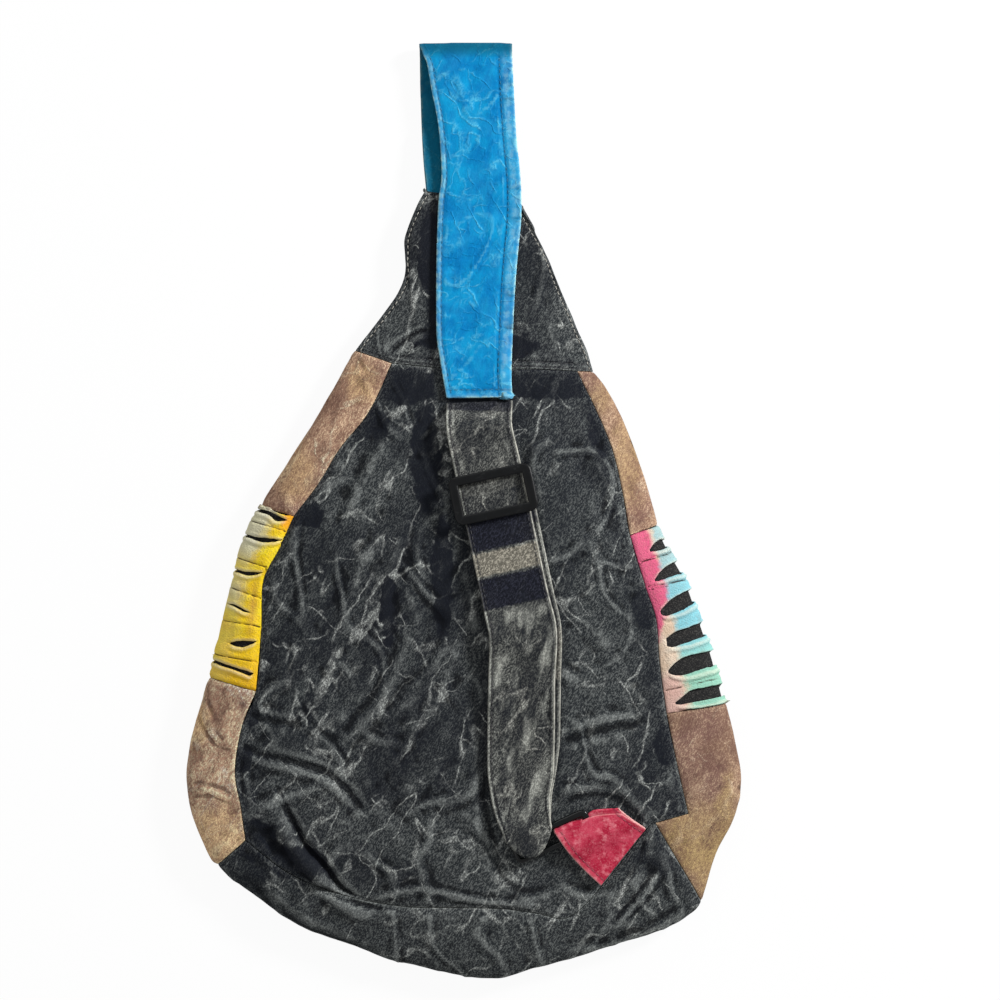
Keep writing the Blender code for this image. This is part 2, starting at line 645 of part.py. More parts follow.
def webbing(strap_end, end_across):
    start, way = slide_axis()
    base = slide_base()[0]
    plane = ring_plane()[0]
    ring_start, along, down = ring_axes()
    run, _, wrap, front, _ = above_slot()
    top, low = -SLIDE_UP - SLIDER_DEPTH / 2, SLIDE_DOWN + SLIDER_DEPTH / 2
    first = strap_end[:2] + np.array([end_across[1], -end_across[0]]) * SEAM_GAP * 2
    held = [start + way * a for a in (top, top / 2, 0, low / 2, low * 0.8, low)]
    plan = even(smooth([tuple(p / MM) for p in [first] + held] + WEB_LOWER), 64)
    side = widths_across(plan)
    share = np.linspace(0, 1, len(plan))
    turn = blend(0.82, 0.97, share)[:, None]
    side = side * (1 - turn) + along * turn
    side[0] = end_across
    side /= np.linalg.norm(side, axis=1, keepdims=True)
    widths = WEB_WIDTH + (WEB_END_WIDTH - WEB_WIDTH) * blend(0.80, 0.98, share)
    place = (plan - start) @ way
    past = (plan - ring_start) @ down
    over = ring_height() + RING_BAR / 2 + FREE + WEBBING / 2
    double = WEBBING + FREE

    points, sides, wide = [], [], []

    def add(xy, z, across, width):
        points.append(with_height(xy, z))
        sides.append(np.append(across, 0.0))
        wide.append(width)

    body = [tallest(xy, across, WEB_WIDTH) for xy, across in zip(plan, side)]
    for k in range(len(plan)):
        hold = blend(place[0], top, place[k]) * (1 - blend(low, low + 0.022, place[k]))
        rest = strap_end[2] if place[k] < 0 else body[k] + run + double
        z = rest + (base(place[k]) + front - rest) * hold
        lift_up = blend(-0.022, -0.004, past[k]) if place[k] > low else 0
        z += (plane(plan[k]) + over + double - z) * lift_up
        add(plan[k], z, side[k], widths[k])
    last = points[-1]
    heading = (plan[-1] - plan[-2]) / np.linalg.norm(plan[-1] - plan[-2])
    for angle in np.radians((45, 90, 135)):
        add(last[:2] + heading * double / 2 * math.sin(angle),
            last[2] - double / 2 * (1 - math.cos(angle)), side[-1], widths[-1])
    for k in range(len(plan) - 1, -1, -1):
        if place[k] < -0.001:
            break
        easing = blend(low, low + 0.022, place[k])
        z = (base(place[k]) + run) * (1 - easing) + (body[k] + run) * easing
        z += (plane(plan[k]) + run - z) * blend(-0.022, -0.004, past[k])
        z += (over - run) * blend(RING_BAR / 2 + FREE, RING_DEPTH / 2 + 0.001, past[k])
        shift = WEB_OFFSET * blend(len(plan) - 1, len(plan) - 8, k)
        add(plan[k] + side[k] * shift, z, side[k], widths[k])
    across = np.array([-way[1], way[0]])
    turn_at = -CENTRE_BAR_DEPTH / 2 + FREE
    radius = (wrap - run) / 2
    for angle in np.radians((0, 36, 72, 108, 144, 180)):
        a = turn_at - radius * math.sin(angle)
        add(start + way * a + across * WEB_OFFSET,
            base(a) + (run + wrap) / 2 - radius * math.cos(angle), across, WEB_WIDTH)
    tail_end = run + double
    for a, z in ((CENTRE_BAR_DEPTH / 2, wrap), (CENTRE_BAR_DEPTH, wrap * 0.8 + tail_end * 0.2),
                 (CENTRE_BAR_DEPTH * 1.7, tail_end), (TAIL, tail_end)):
        add(start + way * a + across * WEB_OFFSET, base(a) + z, across, WEB_WIDTH)
    ribbon("strap_webbing", np.array(points), np.array(sides), np.array(wide), WEBBING,
           (0.10, 0.11, 0.12), 2)


def rounded(half_x, half_y, radius, steps=4):
    """Rounded rectangle, anticlockwise."""
    corners = ((half_x, half_y, 0), (-half_x, half_y, 90), (-half_x, -half_y, 180),
               (half_x, -half_y, 270))
    outline = []
    for x, y, begin in corners:
        for angle in np.radians(np.linspace(begin, begin + 90, steps + 1)):
            outline.append((x - math.copysign(radius, x) + radius * math.cos(angle),
                            y - math.copysign(radius, y) + radius * math.sin(angle)))
    return outline


def frame_plate(bm, outer, inner, low, high):
    """Flat plate between two outlines with the same number of points."""
    rings = [[bm.verts.new((x, y, z)) for x, y in outline]
             for z in (low, high) for outline in (outer, inner)]
    low_out, low_in, high_out, high_in = rings
    for a, b in ((high_out, high_in), (high_in, low_in), (low_in, low_out), (low_out, high_out)):
        for k in range(len(outer)):
            n = (k + 1) % len(outer)
            bm.faces.new([a[k], a[n], b[n], b[k]])


def placed(thing, origin, x_axis, y_axis):
    """Stands an object's own frame at a place; its axes are given as 3-D directions."""
    x_axis = Vector(x_axis).normalized()
    z_axis = x_axis.cross(Vector(y_axis)).normalized()
    y_axis = z_axis.cross(x_axis)
    matrix = Matrix((x_axis, y_axis, z_axis)).transposed().to_4x4()
    matrix.translation = Vector(origin)
    thing.matrix_world = matrix
    return matrix


def combine(thing, other, operation):
    """Boolean with a hidden operand."""
    other.hide_render = True
    other.display_type = "WIRE"
    step = thing.modifiers.new(other.name, "BOOLEAN")
    step.operation = operation
    step.object = other


def adjuster():
    """Tri-glide: outer frame over the front run, centre bar under it."""
    start, way = slide_axis()
    base, slope = slide_base()
    _, bar, _, _, top = above_slot()
    colour = (0.012, 0.012, 0.013)
    bm = bmesh.new()
    half_x, half_y = SLIDER_LENGTH / 2, SLIDER_DEPTH / 2
    frame_plate(bm, rounded(half_x, half_y, 0.0035),
                rounded(half_x - SLIDER_RAIL, half_y - SLIDER_RAIL, 0.0010), top, top + SLIDER_BAR)
    slider = finish("strap_adjuster", bm, colour, 0.35)
    bm = bmesh.new()
    box(bm, (-half_x + 0.0002, -CENTRE_BAR_DEPTH / 2, bar),
        (half_x - 0.0002, CENTRE_BAR_DEPTH / 2, bar + SLIDER_BAR))
    centre_bar = finish("adjuster_centre_bar", bm, colour, 0.35)
    origin = with_height(start, base(0))
    x_axis, y_axis = (-way[1], way[0], 0), (-way[0], -way[1], -slope)
    placed(slider, origin, x_axis, y_axis)
    placed(centre_bar, origin, x_axis, y_axis)
    for end in (-1, 1):
        bm = bmesh.new()
        outer = end * (half_x - 0.0001)
        inner = end * (half_x - SLIDER_RAIL + 0.0003)
        box(bm, (min(outer, inner), -CENTRE_BAR_DEPTH / 2 + 0.0001, bar + 0.0002),
            (max(outer, inner), CENTRE_BAR_DEPTH / 2 - 0.0001, top + SLIDER_BAR / 2))
        post = finish(f"adjuster_post_{end + 1}", bm, colour, 0.35)
        placed(post, origin, x_axis, y_axis)
        combine(slider, post, "UNION")
    combine(slider, centre_bar, "UNION")


def ring():
    start, along, down = ring_axes()
    plane, slope = ring_plane()
    half_x, half_y = (RING_LENGTH - RING_BAR) / 2, (RING_DEPTH - RING_BAR) / 2
    path = rounded(half_x, half_y, 0.0024, 3)
    bm = bmesh.new()
    loops = []
    for k, (x, y) in enumerate(path):
        before, after = Vector(path[k - 1]), Vector(path[(k + 1) % len(path)])
        out = Vector((after.y - before.y, before.x - after.x)).normalized()
        loops.append([bm.verts.new((x + out.x * RING_BAR / 2 * math.cos(t),
                                    y + out.y * RING_BAR / 2 * math.cos(t),
                                    RING_BAR / 2 * math.sin(t)))
                      for t in np.linspace(0, 2 * math.pi, 10, endpoint=False)])
    for k, loop in enumerate(loops):
        follow = loops[(k + 1) % len(loops)]
        for n in range(10):
            m = (n + 1) % 10
            bm.faces.new([loop[n], loop[m], follow[m], follow[n]])
    thing = finish("rectangular_ring", bm, (0.012, 0.012, 0.013), 0.25)
    middle = start + along * half_x + down * half_y
    placed(thing, with_height(middle, plane(middle) + ring_height()),
           np.append(along, along @ slope), np.append(-down, -down @ slope))


def anchor_tab():
    """Folded tab: lower layer, turn round the ring's lower bar, upper layer."""
    plane = ring_plane()[0]
    start, along, down = ring_axes()
    columns, rows = 8, 8
    top = even(smooth(TAB_TOP), columns)
    seam = at_shares(np.array([millimetres(p) for p in TAB_SEAM]), np.linspace(0, 1, columns + 1))
    patch = np.array([top + (seam - top) * v for v in np.linspace(0, 1, rows + 1)])
    past = (patch - start) @ down
    floor = FREE + TAB_LAYER / 2
    ceiling = ring_height() + RING_BAR / 2 + FREE + TAB_LAYER / 2
    closed = floor + TAB_LAYER + FREE
    height = ceiling + (closed - ceiling) * blend(RING_DEPTH, RING_DEPTH + 0.014, past)
    plan_height = np.apply_along_axis(plane, 2, patch)
    lower = np.concatenate([patch, (plan_height + floor)[..., None]], axis=2)
    upper = np.concatenate([patch, (plan_height + height)[..., None]], axis=2)
    turn = []
    radius = (ceiling - floor) / 2
    for angle in np.radians((30, 90, 150)):
        row = lower[0].copy()
        row[:, :2] -= down * 0.55 * radius * math.sin(angle)
        row[:, 2] += radius * (1 - math.cos(angle))
        turn.append(row)
    middle = np.vstack([lower[::-1], np.array(turn), upper])
    run = (top - start) @ along
    keep = np.ones((middle.shape[0] - 1, columns), bool)
    for column in range(columns):
        if run[column + 1] > RING_LENGTH - TAB_FOLD_END:
            keep[rows:rows + 4, column] = False
    normals = np.cross(np.gradient(middle, axis=0), np.gradient(middle, axis=1))
    normals /= np.linalg.norm(normals, axis=2, keepdims=True)
    half = normals * TAB_LAYER / 2
    slab("anchor_tab", middle + half, middle - half, (0.62, 0.07, 0.14), keep)


# zipper in the hidden front

def comb(name, side):
    """One row of teeth."""
    outline = []
    left, right = -ZIP_LENGTH / 2 + STOP_LENGTH * 2, ZIP_LENGTH / 2 - ZIP_SLIDER_LENGTH
    root, back = TOOTH_ROOT * 0.45, TOOTH_ROOT
    x = left + (TOOTH_PITCH / 2 if side < 0 else 0)
    outline.append((left, back))
    outline.append((left, root))
    while x + TOOTH_WIDTH < right:
        outline += [(x + 0.0001, root), (x + 0.0001, -TOOTH_REACH),
                    (x + TOOTH_WIDTH, -TOOTH_REACH), (x + TOOTH_WIDTH, root)]
        x += TOOTH_PITCH
    outline += [(right, root), (right, back)]
    outline = [(px, py * side + ZIP_Y) for px, py in outline]
    level = NECK_LIFT + FABRIC + SEAM_GAP + ZIP_TAPE_THICK / 2
    bm = bmesh.new()
    plate(bm, outline, level - TOOTH_THICK / 2, level + TOOTH_THICK / 2)
    finish(name, bm, (0.04, 0.04, 0.05), 0.4)


def zipper():
    tape_low = NECK_LIFT + FABRIC + SEAM_GAP
    level = tape_low + ZIP_TAPE_THICK / 2
    metal = (0.45, 0.42, 0.36)
    half = ZIP_LENGTH / 2
    for name, side in (("upper", 1), ("lower", -1)):
        inner, outer = TOOTH_ROOT + SEAM_GAP, TOOTH_ROOT + SEAM_GAP + ZIP_TAPE
        bm = bmesh.new()
        box(bm, (-half, ZIP_Y + min(side * inner, side * outer), tape_low),
            (half, ZIP_Y + max(side * inner, side * outer), tape_low + ZIP_TAPE_THICK))
        finish("zipper_tape_" + name, bm, (0.02, 0.02, 0.025))
        comb("zipper_teeth_" + name, side)
    bm = bmesh.new()
    box(bm, (-half, ZIP_Y - TOOTH_ROOT, level - TOOTH_THICK / 2),
        (STOP_LENGTH - half, ZIP_Y + TOOTH_ROOT, level + TOOTH_THICK / 2))
    finish("zipper_bottom_stop", bm, metal, 0.35, 1.0)

    # slider: two plates, lips that leave a slot for the tape, one post between the rows
    cavity = TOOTH_THICK / 2 + ZIP_FREE
    plate_low, plate_high = level - cavity, level + cavity
    wide = ZIP_SLIDER_WIDTH / 2
    lip_inner = TOOTH_ROOT + SEAM_GAP + ZIP_FREE
    slot = ZIP_TAPE_THICK / 2 + ZIP_FREE
    x0, x1 = half - ZIP_SLIDER_LENGTH, half
    post = ZIP_SLIDER_LENGTH * 0.15
    bm = bmesh.new()
    box(bm, (x0, ZIP_Y - wide, plate_low - ZIP_PLATE), (x1, ZIP_Y + wide, plate_low))
    slider = finish("zipper_slider", bm, metal, 0.35, 1.0)
    extras = [((x0, -wide, plate_high), (x1, wide, plate_high + ZIP_PLATE)),
              ((x1 - post, -0.0006, plate_low - 0.0003),
               (x1 - 0.0002, 0.0006, plate_high + 0.0003))]
    for side in (-1, 1):
        a, b = sorted((side * lip_inner, side * (wide - 0.0001)))
        extras.append(((x0 + 0.0002, a, plate_low - 0.0002), (x1 - 0.0002, b, level - slot)))
        extras.append(((x0 + 0.0002, a, level + slot), (x1 - 0.0002, b, plate_high + 0.0002)))
    pin_x, pin_z = x0 + ZIP_SLIDER_LENGTH / 2, plate_low - ZIP_PLATE - PULL_THICK / 2 - ZIP_FREE
    mouth = PULL_BAR / 2 + 2 * ZIP_FREE
    arch_low = pin_z - PULL_THICK / 2 - ZIP_FREE
    for side in (-1, 1):
        a, b = sorted((side * mouth, side * (mouth + BAIL)))
        extras.append(((pin_x + a, -BAIL, arch_low - BAIL / 2),
                       (pin_x + b, BAIL, plate_low - ZIP_PLATE / 2)))
    extras.append(((pin_x - mouth - BAIL / 2, -BAIL + 0.0001, arch_low - BAIL),
                   (pin_x + mouth + BAIL / 2, BAIL - 0.0001, arch_low)))
    for number, (low, high) in enumerate(extras):
        bm = bmesh.new()
        box(bm, (low[0], ZIP_Y + low[1], low[2]), (high[0], ZIP_Y + high[1], high[2]))
        combine(slider, finish(f"zipper_slider_part_{number}", bm, metal, 0.35, 1.0), "UNION")

    # pull: flat tongue whose end bar turns inside the bail, its origin on the turning axis
    bm = bmesh.new()
    outline = [(x - (PULL_LENGTH - PULL_BAR) / 2, y)
               for x, y in rounded(PULL_LENGTH / 2, PULL_WIDTH / 2, PULL_WIDTH / 4)]
    plate(bm, outline, -PULL_THICK / 2, PULL_THICK / 2)
    pull = finish("zipper_pull", bm, metal, 0.35, 1.0)
    pull.location = (pin_x, ZIP_Y, pin_z)
    bm = bmesh.new()
    window_end = mouth + BAIL + 3 * ZIP_FREE
    box(bm, (-window_end, -BAIL - 2 * ZIP_FREE, -PULL_THICK),
        (-PULL_BAR / 2, BAIL + 2 * ZIP_FREE, PULL_THICK))
    window = finish("zipper_pull_window", bm, metal)
    window.location = pull.location
    combine(pull, window, "DIFFERENCE")


def front_slot():
    """Opens the front panel where the zipper shows."""
    panel = bpy.data.objects["front_panel"]
    bm = bmesh.new()
    box(bm, (-ZIP_LENGTH / 2 - 0.0010, ZIP_Y - ZIP_SLOT / 2, NECK_LIFT - 0.003),
        (ZIP_LENGTH / 2 + 0.0010, ZIP_Y + ZIP_SLOT / 2, NECK_LIFT + FABRIC + 0.003))
    combine(panel, finish("zipper_slot_cutter", bm, (0.5, 0.5, 0.5)), "DIFFERENCE")


def sew_skin():
    panels = build_skin()
    total, key = welded_normals(panels)
    colours = {"back": (0.07, 0.08, 0.10), "front": (0.07, 0.08, 0.10),
               "bottom": (0.09, 0.10, 0.11), "left_gusset": (0.33, 0.20, 0.14),
               "right_gusset": (0.30, 0.19, 0.12), "left_slashed": (0.85, 0.70, 0.04),
               "right_slashed": (0.80, 0.30, 0.42)}
    for name, (grid, keep, flip) in panels.items():
        colour = next(value for start, value in colours.items() if name.startswith(start))
        normals = panel_normals(grid, flip, total, key)
        gap = SEAM_GAP if name.endswith("yoke") else SEAM_GAP / 2
        outer = inset_edges(grid, normals, flip, gap)
        if name.endswith("_plain"):
            node = name.replace("slashed_insert_plain", "insert_backing")
            outer = outer - normals * (FABRIC + 2 * SEAM_GAP)
            slab(node, outer, outer - normals * BACKING, (0.02, 0.02, 0.03))
        else:
            slab(name, outer, outer - normals * FABRIC, colour, keep)


def main():
    for thing in list(bpy.data.objects):
        bpy.data.objects.remove(thing, do_unlink=True)
    sew_skin()
    front_slot()
    zipper()
    webbing(*shoulder_strap())
    adjuster()
    ring()
    anchor_tab()


main()
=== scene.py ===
# Sling backpack of stone-washed cotton patches, lying on its front with the strap up.
# Metres. The panels follow the same pillow surface as the part: a turn around the bag's centre
# and a latitude, +90 on the back, 0 at the side edge, -90 on the front.
import math

import bmesh
import bpy
import numpy as np
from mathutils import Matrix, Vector


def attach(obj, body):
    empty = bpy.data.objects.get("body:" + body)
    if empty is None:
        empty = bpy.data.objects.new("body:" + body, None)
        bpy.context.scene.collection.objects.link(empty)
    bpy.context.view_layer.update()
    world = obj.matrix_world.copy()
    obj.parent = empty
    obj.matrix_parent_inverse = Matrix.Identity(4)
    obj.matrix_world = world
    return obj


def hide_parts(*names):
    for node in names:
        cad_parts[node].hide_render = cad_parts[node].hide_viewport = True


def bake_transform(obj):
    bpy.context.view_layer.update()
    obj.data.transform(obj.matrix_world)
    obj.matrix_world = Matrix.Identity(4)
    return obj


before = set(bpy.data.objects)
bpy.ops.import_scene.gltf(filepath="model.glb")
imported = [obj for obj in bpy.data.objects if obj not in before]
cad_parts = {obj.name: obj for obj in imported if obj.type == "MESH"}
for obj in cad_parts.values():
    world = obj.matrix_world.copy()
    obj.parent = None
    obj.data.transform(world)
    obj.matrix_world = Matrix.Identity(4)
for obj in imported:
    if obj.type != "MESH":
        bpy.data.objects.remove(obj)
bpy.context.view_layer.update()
mm = 0.001

bag = {
    "centre": (0.3, -78.6), "edgeHeight": 12.0, "backLoft": 17.0, "neckLoft": 6.0,
    "neckDepth": 4.0, "neckLift": 6.2, "neckFrom": -35.0, "neckFull": 20.0,
    "frontFlat": 0.86, "frontSeam": 0.93, "backPower": 3.0, "crowding": 1.6,
    "cloth": 1.3, "seamDip": 1.0, "seamRound": 2.6, "seamInset": 0.15,
    "leftEdge": [(-65.1, 95.4), (-74.1, 79.8), (-87.3, 55.8), (-102.3, 31.8), (-117.9, 7.8),
                 (-130.5, -16.2), (-140.7, -52.2), (-149.1, -88.2), (-155.7, -112.2),
                 (-162.9, -135.0), (-166.5, -160.2), (-163.5, -183.6), (-152.7, -208.2),
                 (-147.9, -214.2)],
    "bottomEdge": [(-147.9, -214.2), (-133.5, -225.6), (-107.7, -244.2), (-83.7, -256.2),
                   (-49.5, -268.2), (-19.5, -276.6), (10.5, -281.4), (29.1, -280.2),
                   (69.9, -268.2), (110.7, -256.2), (136.5, -244.2), (143.7, -235.8)],
    "rightEdge": [(143.7, -235.8), (151.5, -208.2), (163.5, -183.6), (166.5, -160.2),
                  (162.9, -136.2), (156.9, -112.2), (150.3, -88.2), (141.9, -64.2),
                  (132.9, -40.2), (119.7, -16.2), (109.5, 19.8), (101.1, 43.8), (89.1, 67.8),
                  (78.9, 82.8)],
    "yokeRight": [(78.9, 82.8), (73.5, 98.4), (64.5, 119.4), (49.5, 155.4), (35.1, 182.4)],
    "yokeTip": [(35.1, 182.4), (4.5, 188.4), (-23.1, 192.6)],
    "yokeLeft": [(-23.1, 192.6), (-30.9, 177.0), (-35.7, 161.4), (-35.1, 145.8),
                 (-39.9, 130.2), (-54.3, 109.8), (-65.1, 95.4)],
    "hem": [(-42.9, 87.6), (-19.5, 85.2), (10.5, 84.0), (40.5, 84.0), (68.7, 82.8)],
    "leftUpper": [(-42.9, 87.6), (-56.1, 58.8), (-73.5, 36.6), (-86.7, 15.0), (-101.1, -4.2)],
    "leftInsert": [(-101.1, -4.2), (-109.5, -23.4), (-119.1, -42.6), (-120.3, -72.6),
                   (-123.3, -108.6)],
    "leftLower": [(-123.3, -108.6), (-131.7, -129.6), (-135.9, -156.6), (-132.3, -178.2),
                  (-129.9, -198.0)],
    "rightUpper": [(68.7, 82.8), (81.3, 56.4), (89.7, 35.4), (95.7, 10.2), (99.9, -15.6)],
    "rightInsert": [(99.9, -15.6), (108.9, -45.6), (115.5, -66.0), (117.3, -90.6),
                    (121.5, -121.8)],
    "rightLower": [(121.5, -121.8), (128.1, -153.6), (134.7, -181.8)],
    "rightFoldEnd": (114.9, -187.2),
    "bottomSeam": [(-129.9, -198.0), (-103.5, -217.8), (-71.7, -230.4), (-37.5, -237.0),
                   (-8.0, -237.8), (22.5, -238.2), (45.0, -241.5), (62.7, -244.2),
                   (81.9, -226.2), (109.5, -190.8), (114.9, -187.2)],
    "leftCuts": [(-122.7, 1.8), (-151.5, -100.8)],
    "rightCuts": [(117.3, -9.6), (158.1, -116.4)],
}


# curves, noise and grids

def easeStep(low, high, value):  # 0 before low, 1 after high, smooth between
    t = np.clip((value - low) / (high - low), 0, 1)
    return t * t * (3 - 2 * t)


def bell(value, width):  # exp(-(value / width)^2)
    return np.exp(-(value / width) ** 2)


def inMetres(points):
    return np.array(points, float) * mm


def fromView(points):  # squares of 0.6 mm counted from the top left of the top view
    return (np.array(points, float) - (462.5, 509.0)) * (0.6 * mm, -0.6 * mm)


def smoothCurve(points, steps=12):  # Catmull-Rom curve through points in metres
    p = np.asarray(points, float)
    ends = np.vstack([2 * p[0] - p[1], p, 2 * p[-1] - p[-2]])
    t = np.linspace(0, 1, steps, endpoint=False)[:, None]
    runs = [0.5 * (2 * b + (c - a) * t + (2 * a - 5 * b + 4 * c - d) * t ** 2
                   + (3 * b - a - 3 * c + d) * t ** 3)
            for a, b, c, d in zip(ends, ends[1:], ends[2:], ends[3:])]
    return np.vstack(runs + [p[-1:]])


def runLength(points):  # length covered at each point of a curve
    steps = np.linalg.norm(np.diff(points, axis=0), axis=1)
    return np.concatenate([[0], np.cumsum(steps)])


def atShares(curve, shares, run=None):
    run = runLength(curve) if run is None else run
    return np.stack([np.interp(np.asarray(shares) * run[-1], run, curve[:, k])
                     for k in range(curve.shape[1])], axis=1)


def seamShares(length, spacing, near=(0.0, 0.35, 0.8, 1.3, 1.9, 2.6, 3.4)):
    # shares along a length in metres: crowded near both ends, even between
    near = np.array(near) * mm / length
    count = max(int((length - 2 * near[-1] * length) / spacing), 2)
    middle = np.linspace(near[-1], 1 - near[-1], count + 1)
    return np.concatenate([near[:-1], middle, 1 - near[:-1][::-1]])


def latticeValue(cell, seed):  # whole-number hash of a lattice corner, from -1 to 1
    n = cell[..., 0] * 73856093 ^ cell[..., 1] * 19349663 ^ cell[..., 2] * 83492791 ^ seed * 7919
    n = (n ^ (n >> 13)) * 1274126177 & 0xFFFFFFFF
    n = (n ^ (n >> 16)) * 668265263 & 0xFFFFFFFF
    return (n ^ (n >> 15)) / 2147483648.0 - 1.0


def softNoise(points, size, seed):
    # value noise: corner values of a lattice of that size, mixed by a smooth step on each axis
    q = np.asarray(points) / size + 71.3
    cell = np.floor(q).astype(np.int64)
    t = q - cell
    t = t * t * (3 - 2 * t)
    total = 0
    for corner in range(8):
        step = np.array([corner & 1, corner >> 1 & 1, corner >> 2 & 1])
        weight = np.where(step == 1, t, 1 - t).prod(axis=-1)
        total = total + latticeValue(cell + step, seed) * weight
    return total


def slanted(points, angle, stretch):
    # plan turned by angle and squeezed along it, so that noise there runs in long strokes
    c, s = math.cos(math.radians(angle)), math.sin(math.radians(angle))
    along = (points[..., 0] * c + points[..., 1] * s) / stretch
    across = -points[..., 0] * s + points[..., 1] * c
    return np.stack([along, across, points[..., 2]], axis=-1)


def coons(top, bottom, left, right, u, v):
    # surface filled between four edges: two ruled surfaces less the bilinear one
    u, v = np.asarray(u)[None, :, None], np.asarray(v)[:, None, None]
    ruled = (1 - u) * left[:, None] + u * right[:, None] + (1 - v) * top[None] + v * bottom[None]
    corners = ((1 - u) * (1 - v) * top[0] + u * (1 - v) * top[-1]
               + (1 - u) * v * bottom[0] + u * v * bottom[-1])
    return ruled - corners


def gridNormals(grid, flip):
    down, across = np.gradient(grid, axis=0), np.gradient(grid, axis=1)
    normals = np.cross(down, across) * (-1 if flip else 1)
    return normals / np.maximum(np.linalg.norm(normals, axis=2, keepdims=True), 1e-12)


def edgeRuns(grid):
    # lengths along the grid from each point to its top, bottom, left and right edge
    down = np.concatenate([np.zeros((1, grid.shape[1])),
                           np.cumsum(np.linalg.norm(np.diff(grid, axis=0), axis=2), axis=0)])
    side = np.concatenate([np.zeros((grid.shape[0], 1)),
                           np.cumsum(np.linalg.norm(np.diff(grid, axis=1), axis=2), axis=1)],
                          axis=1)
    return {"top": down, "bottom": down[-1:] - down, "left": side, "right": side[:, -1:] - side}


def strokeDistance(plan, line):
    # signed distance in plan to a polyline (left of its run is positive) and share along it
    best, signed, share = [np.full(plan.shape[:-1], value) for value in (1e9, 0.0, 0.0)]
    run = runLength(line)
    for k, (a, b) in enumerate(zip(line[:-1], line[1:])):
        d = b - a
        t = np.clip(((plan - a) @ d) / (d @ d), 0, 1)
        away = plan - a - t[..., None] * d
        gap = np.linalg.norm(away, axis=-1)
        near = gap < best
        side = np.sign(d[0] * away[..., 1] - d[1] * away[..., 0])
        best = np.where(near, gap, best)
        signed = np.where(near, gap * side, signed)
        share = np.where(near, (run[k] + t * np.linalg.norm(d)) / run[-1], share)
    return signed, share


# the pillow surface

centre = inMetres(bag["centre"])
outline = np.vstack([smoothCurve(inMetres(bag[name])) for name in
                     ("bottomEdge", "rightEdge", "yokeRight", "yokeTip", "yokeLeft", "leftEdge")])


def turnOf(xy):
    d = np.asarray(xy) - centre
    return np.arctan2(d[..., 0], -d[..., 1])


outlineOrder = np.argsort(turnOf(outline), kind="stable")
outlineTurn = turnOf(outline)[outlineOrder]
outlineReach = np.linalg.norm(outline - centre, axis=1)[outlineOrder]


def reachAt(turn):  # distance from the centre to the outline
    return np.interp(turn, outlineTurn, outlineReach, period=2 * math.pi)


def neckShare(y):
    return easeStep(bag["neckFrom"] * mm, bag["neckFull"] * mm, y)


def edgeHeight(y):
    return (bag["edgeHeight"] + (bag["neckLift"] + bag["neckDepth"] - bag["edgeHeight"])
            * neckShare(y)) * mm


def frontDepth(y):
    return (bag["edgeHeight"] + (bag["neckDepth"] - bag["edgeHeight"]) * neckShare(y)) * mm


def backRise(y):
    return (bag["backLoft"] + (bag["neckLoft"] - bag["backLoft"]) * easeStep(-0.03, 0.14, y)) * mm


def lifted(xy, side):  # plan points put on the back (side 1) or the front (side -1)
    share = np.clip(np.linalg.norm(xy - centre, axis=-1) / reachAt(turnOf(xy)), 0, 1)
    y = xy[..., 1]
    if side > 0:
        z = edgeHeight(y) + backRise(y) * np.sqrt(1 - share ** bag["backPower"])
    else:
        rim = np.clip((share - bag["frontFlat"]) / (1 - bag["frontFlat"]), 0, 1)
        z = edgeHeight(y) - frontDepth(y) * np.sqrt(1 - rim ** 2)
    return np.concatenate([xy, z[..., None]], axis=-1)


def toSkin(xy, side):
    turn = turnOf(xy)
    share = np.clip(np.linalg.norm(np.asarray(xy) - centre, axis=-1) / reachAt(turn), 0, 1)
    flat = bag["frontFlat"]
    latitude = (np.arccos(share ** (bag["backPower"] / 2)) if side > 0
                else -np.arccos(np.clip((share - flat) / (1 - flat), 0, 1)))
    return np.stack([turn, latitude], axis=-1)


def fromSkin(skin):
    # share of the reach is cos^(2/power) of the latitude on the back, a flat part plus cos on
    # the front; the height leaves the side edge by the rise times sin
    turn, latitude = skin[..., 0], skin[..., 1]
    c = np.clip(np.cos(latitude), 0, 1)
    flat = bag["frontFlat"]
    share = np.where(latitude >= 0, c ** (2 / bag["backPower"]), flat + (1 - flat) * c)
    xy = centre + np.stack([np.sin(turn), -np.cos(turn)], axis=-1) * (reachAt(turn) * share)[...,
                                                                                             None]
    y = xy[..., 1]
    rise = np.where(latitude >= 0, backRise(y), frontDepth(y)) * np.sin(latitude)
    return np.concatenate([xy, (edgeHeight(y) + rise)[..., None]], axis=-1)


frontLatitude = -math.acos((bag["frontSeam"] - bag["frontFlat"]) / (1 - bag["frontFlat"]))


def crossSeam(backXy, edgeXy, steps=24):  # skin line: back seam, side edge, front seam
    backXy = inMetres(backXy)
    edgeXy = fromSkin(np.array([turnOf(inMetres(edgeXy)), 0.0]))[:2]
    frontXy = fromSkin(np.array([turnOf(backXy), frontLatitude]))[:2]
    inward = np.linspace(0, 1, steps)[:, None] ** bag["crowding"]
    back = toSkin(edgeXy + (backXy - edgeXy) * inward, 1)[::-1]
    back[-1, 1] = 0
    front = toSkin(edgeXy + (frontXy - edgeXy) * inward, -1)
    return np.vstack([back, front[1:]])


def skinAtShares(line, shares):  # skin places at shares of the line's length in space
    return atShares(line, shares, runLength(fromSkin(line)))


# cloth relief

carried = {"strap": 0.030, "webbing": 0.0215, "low": 0.6}

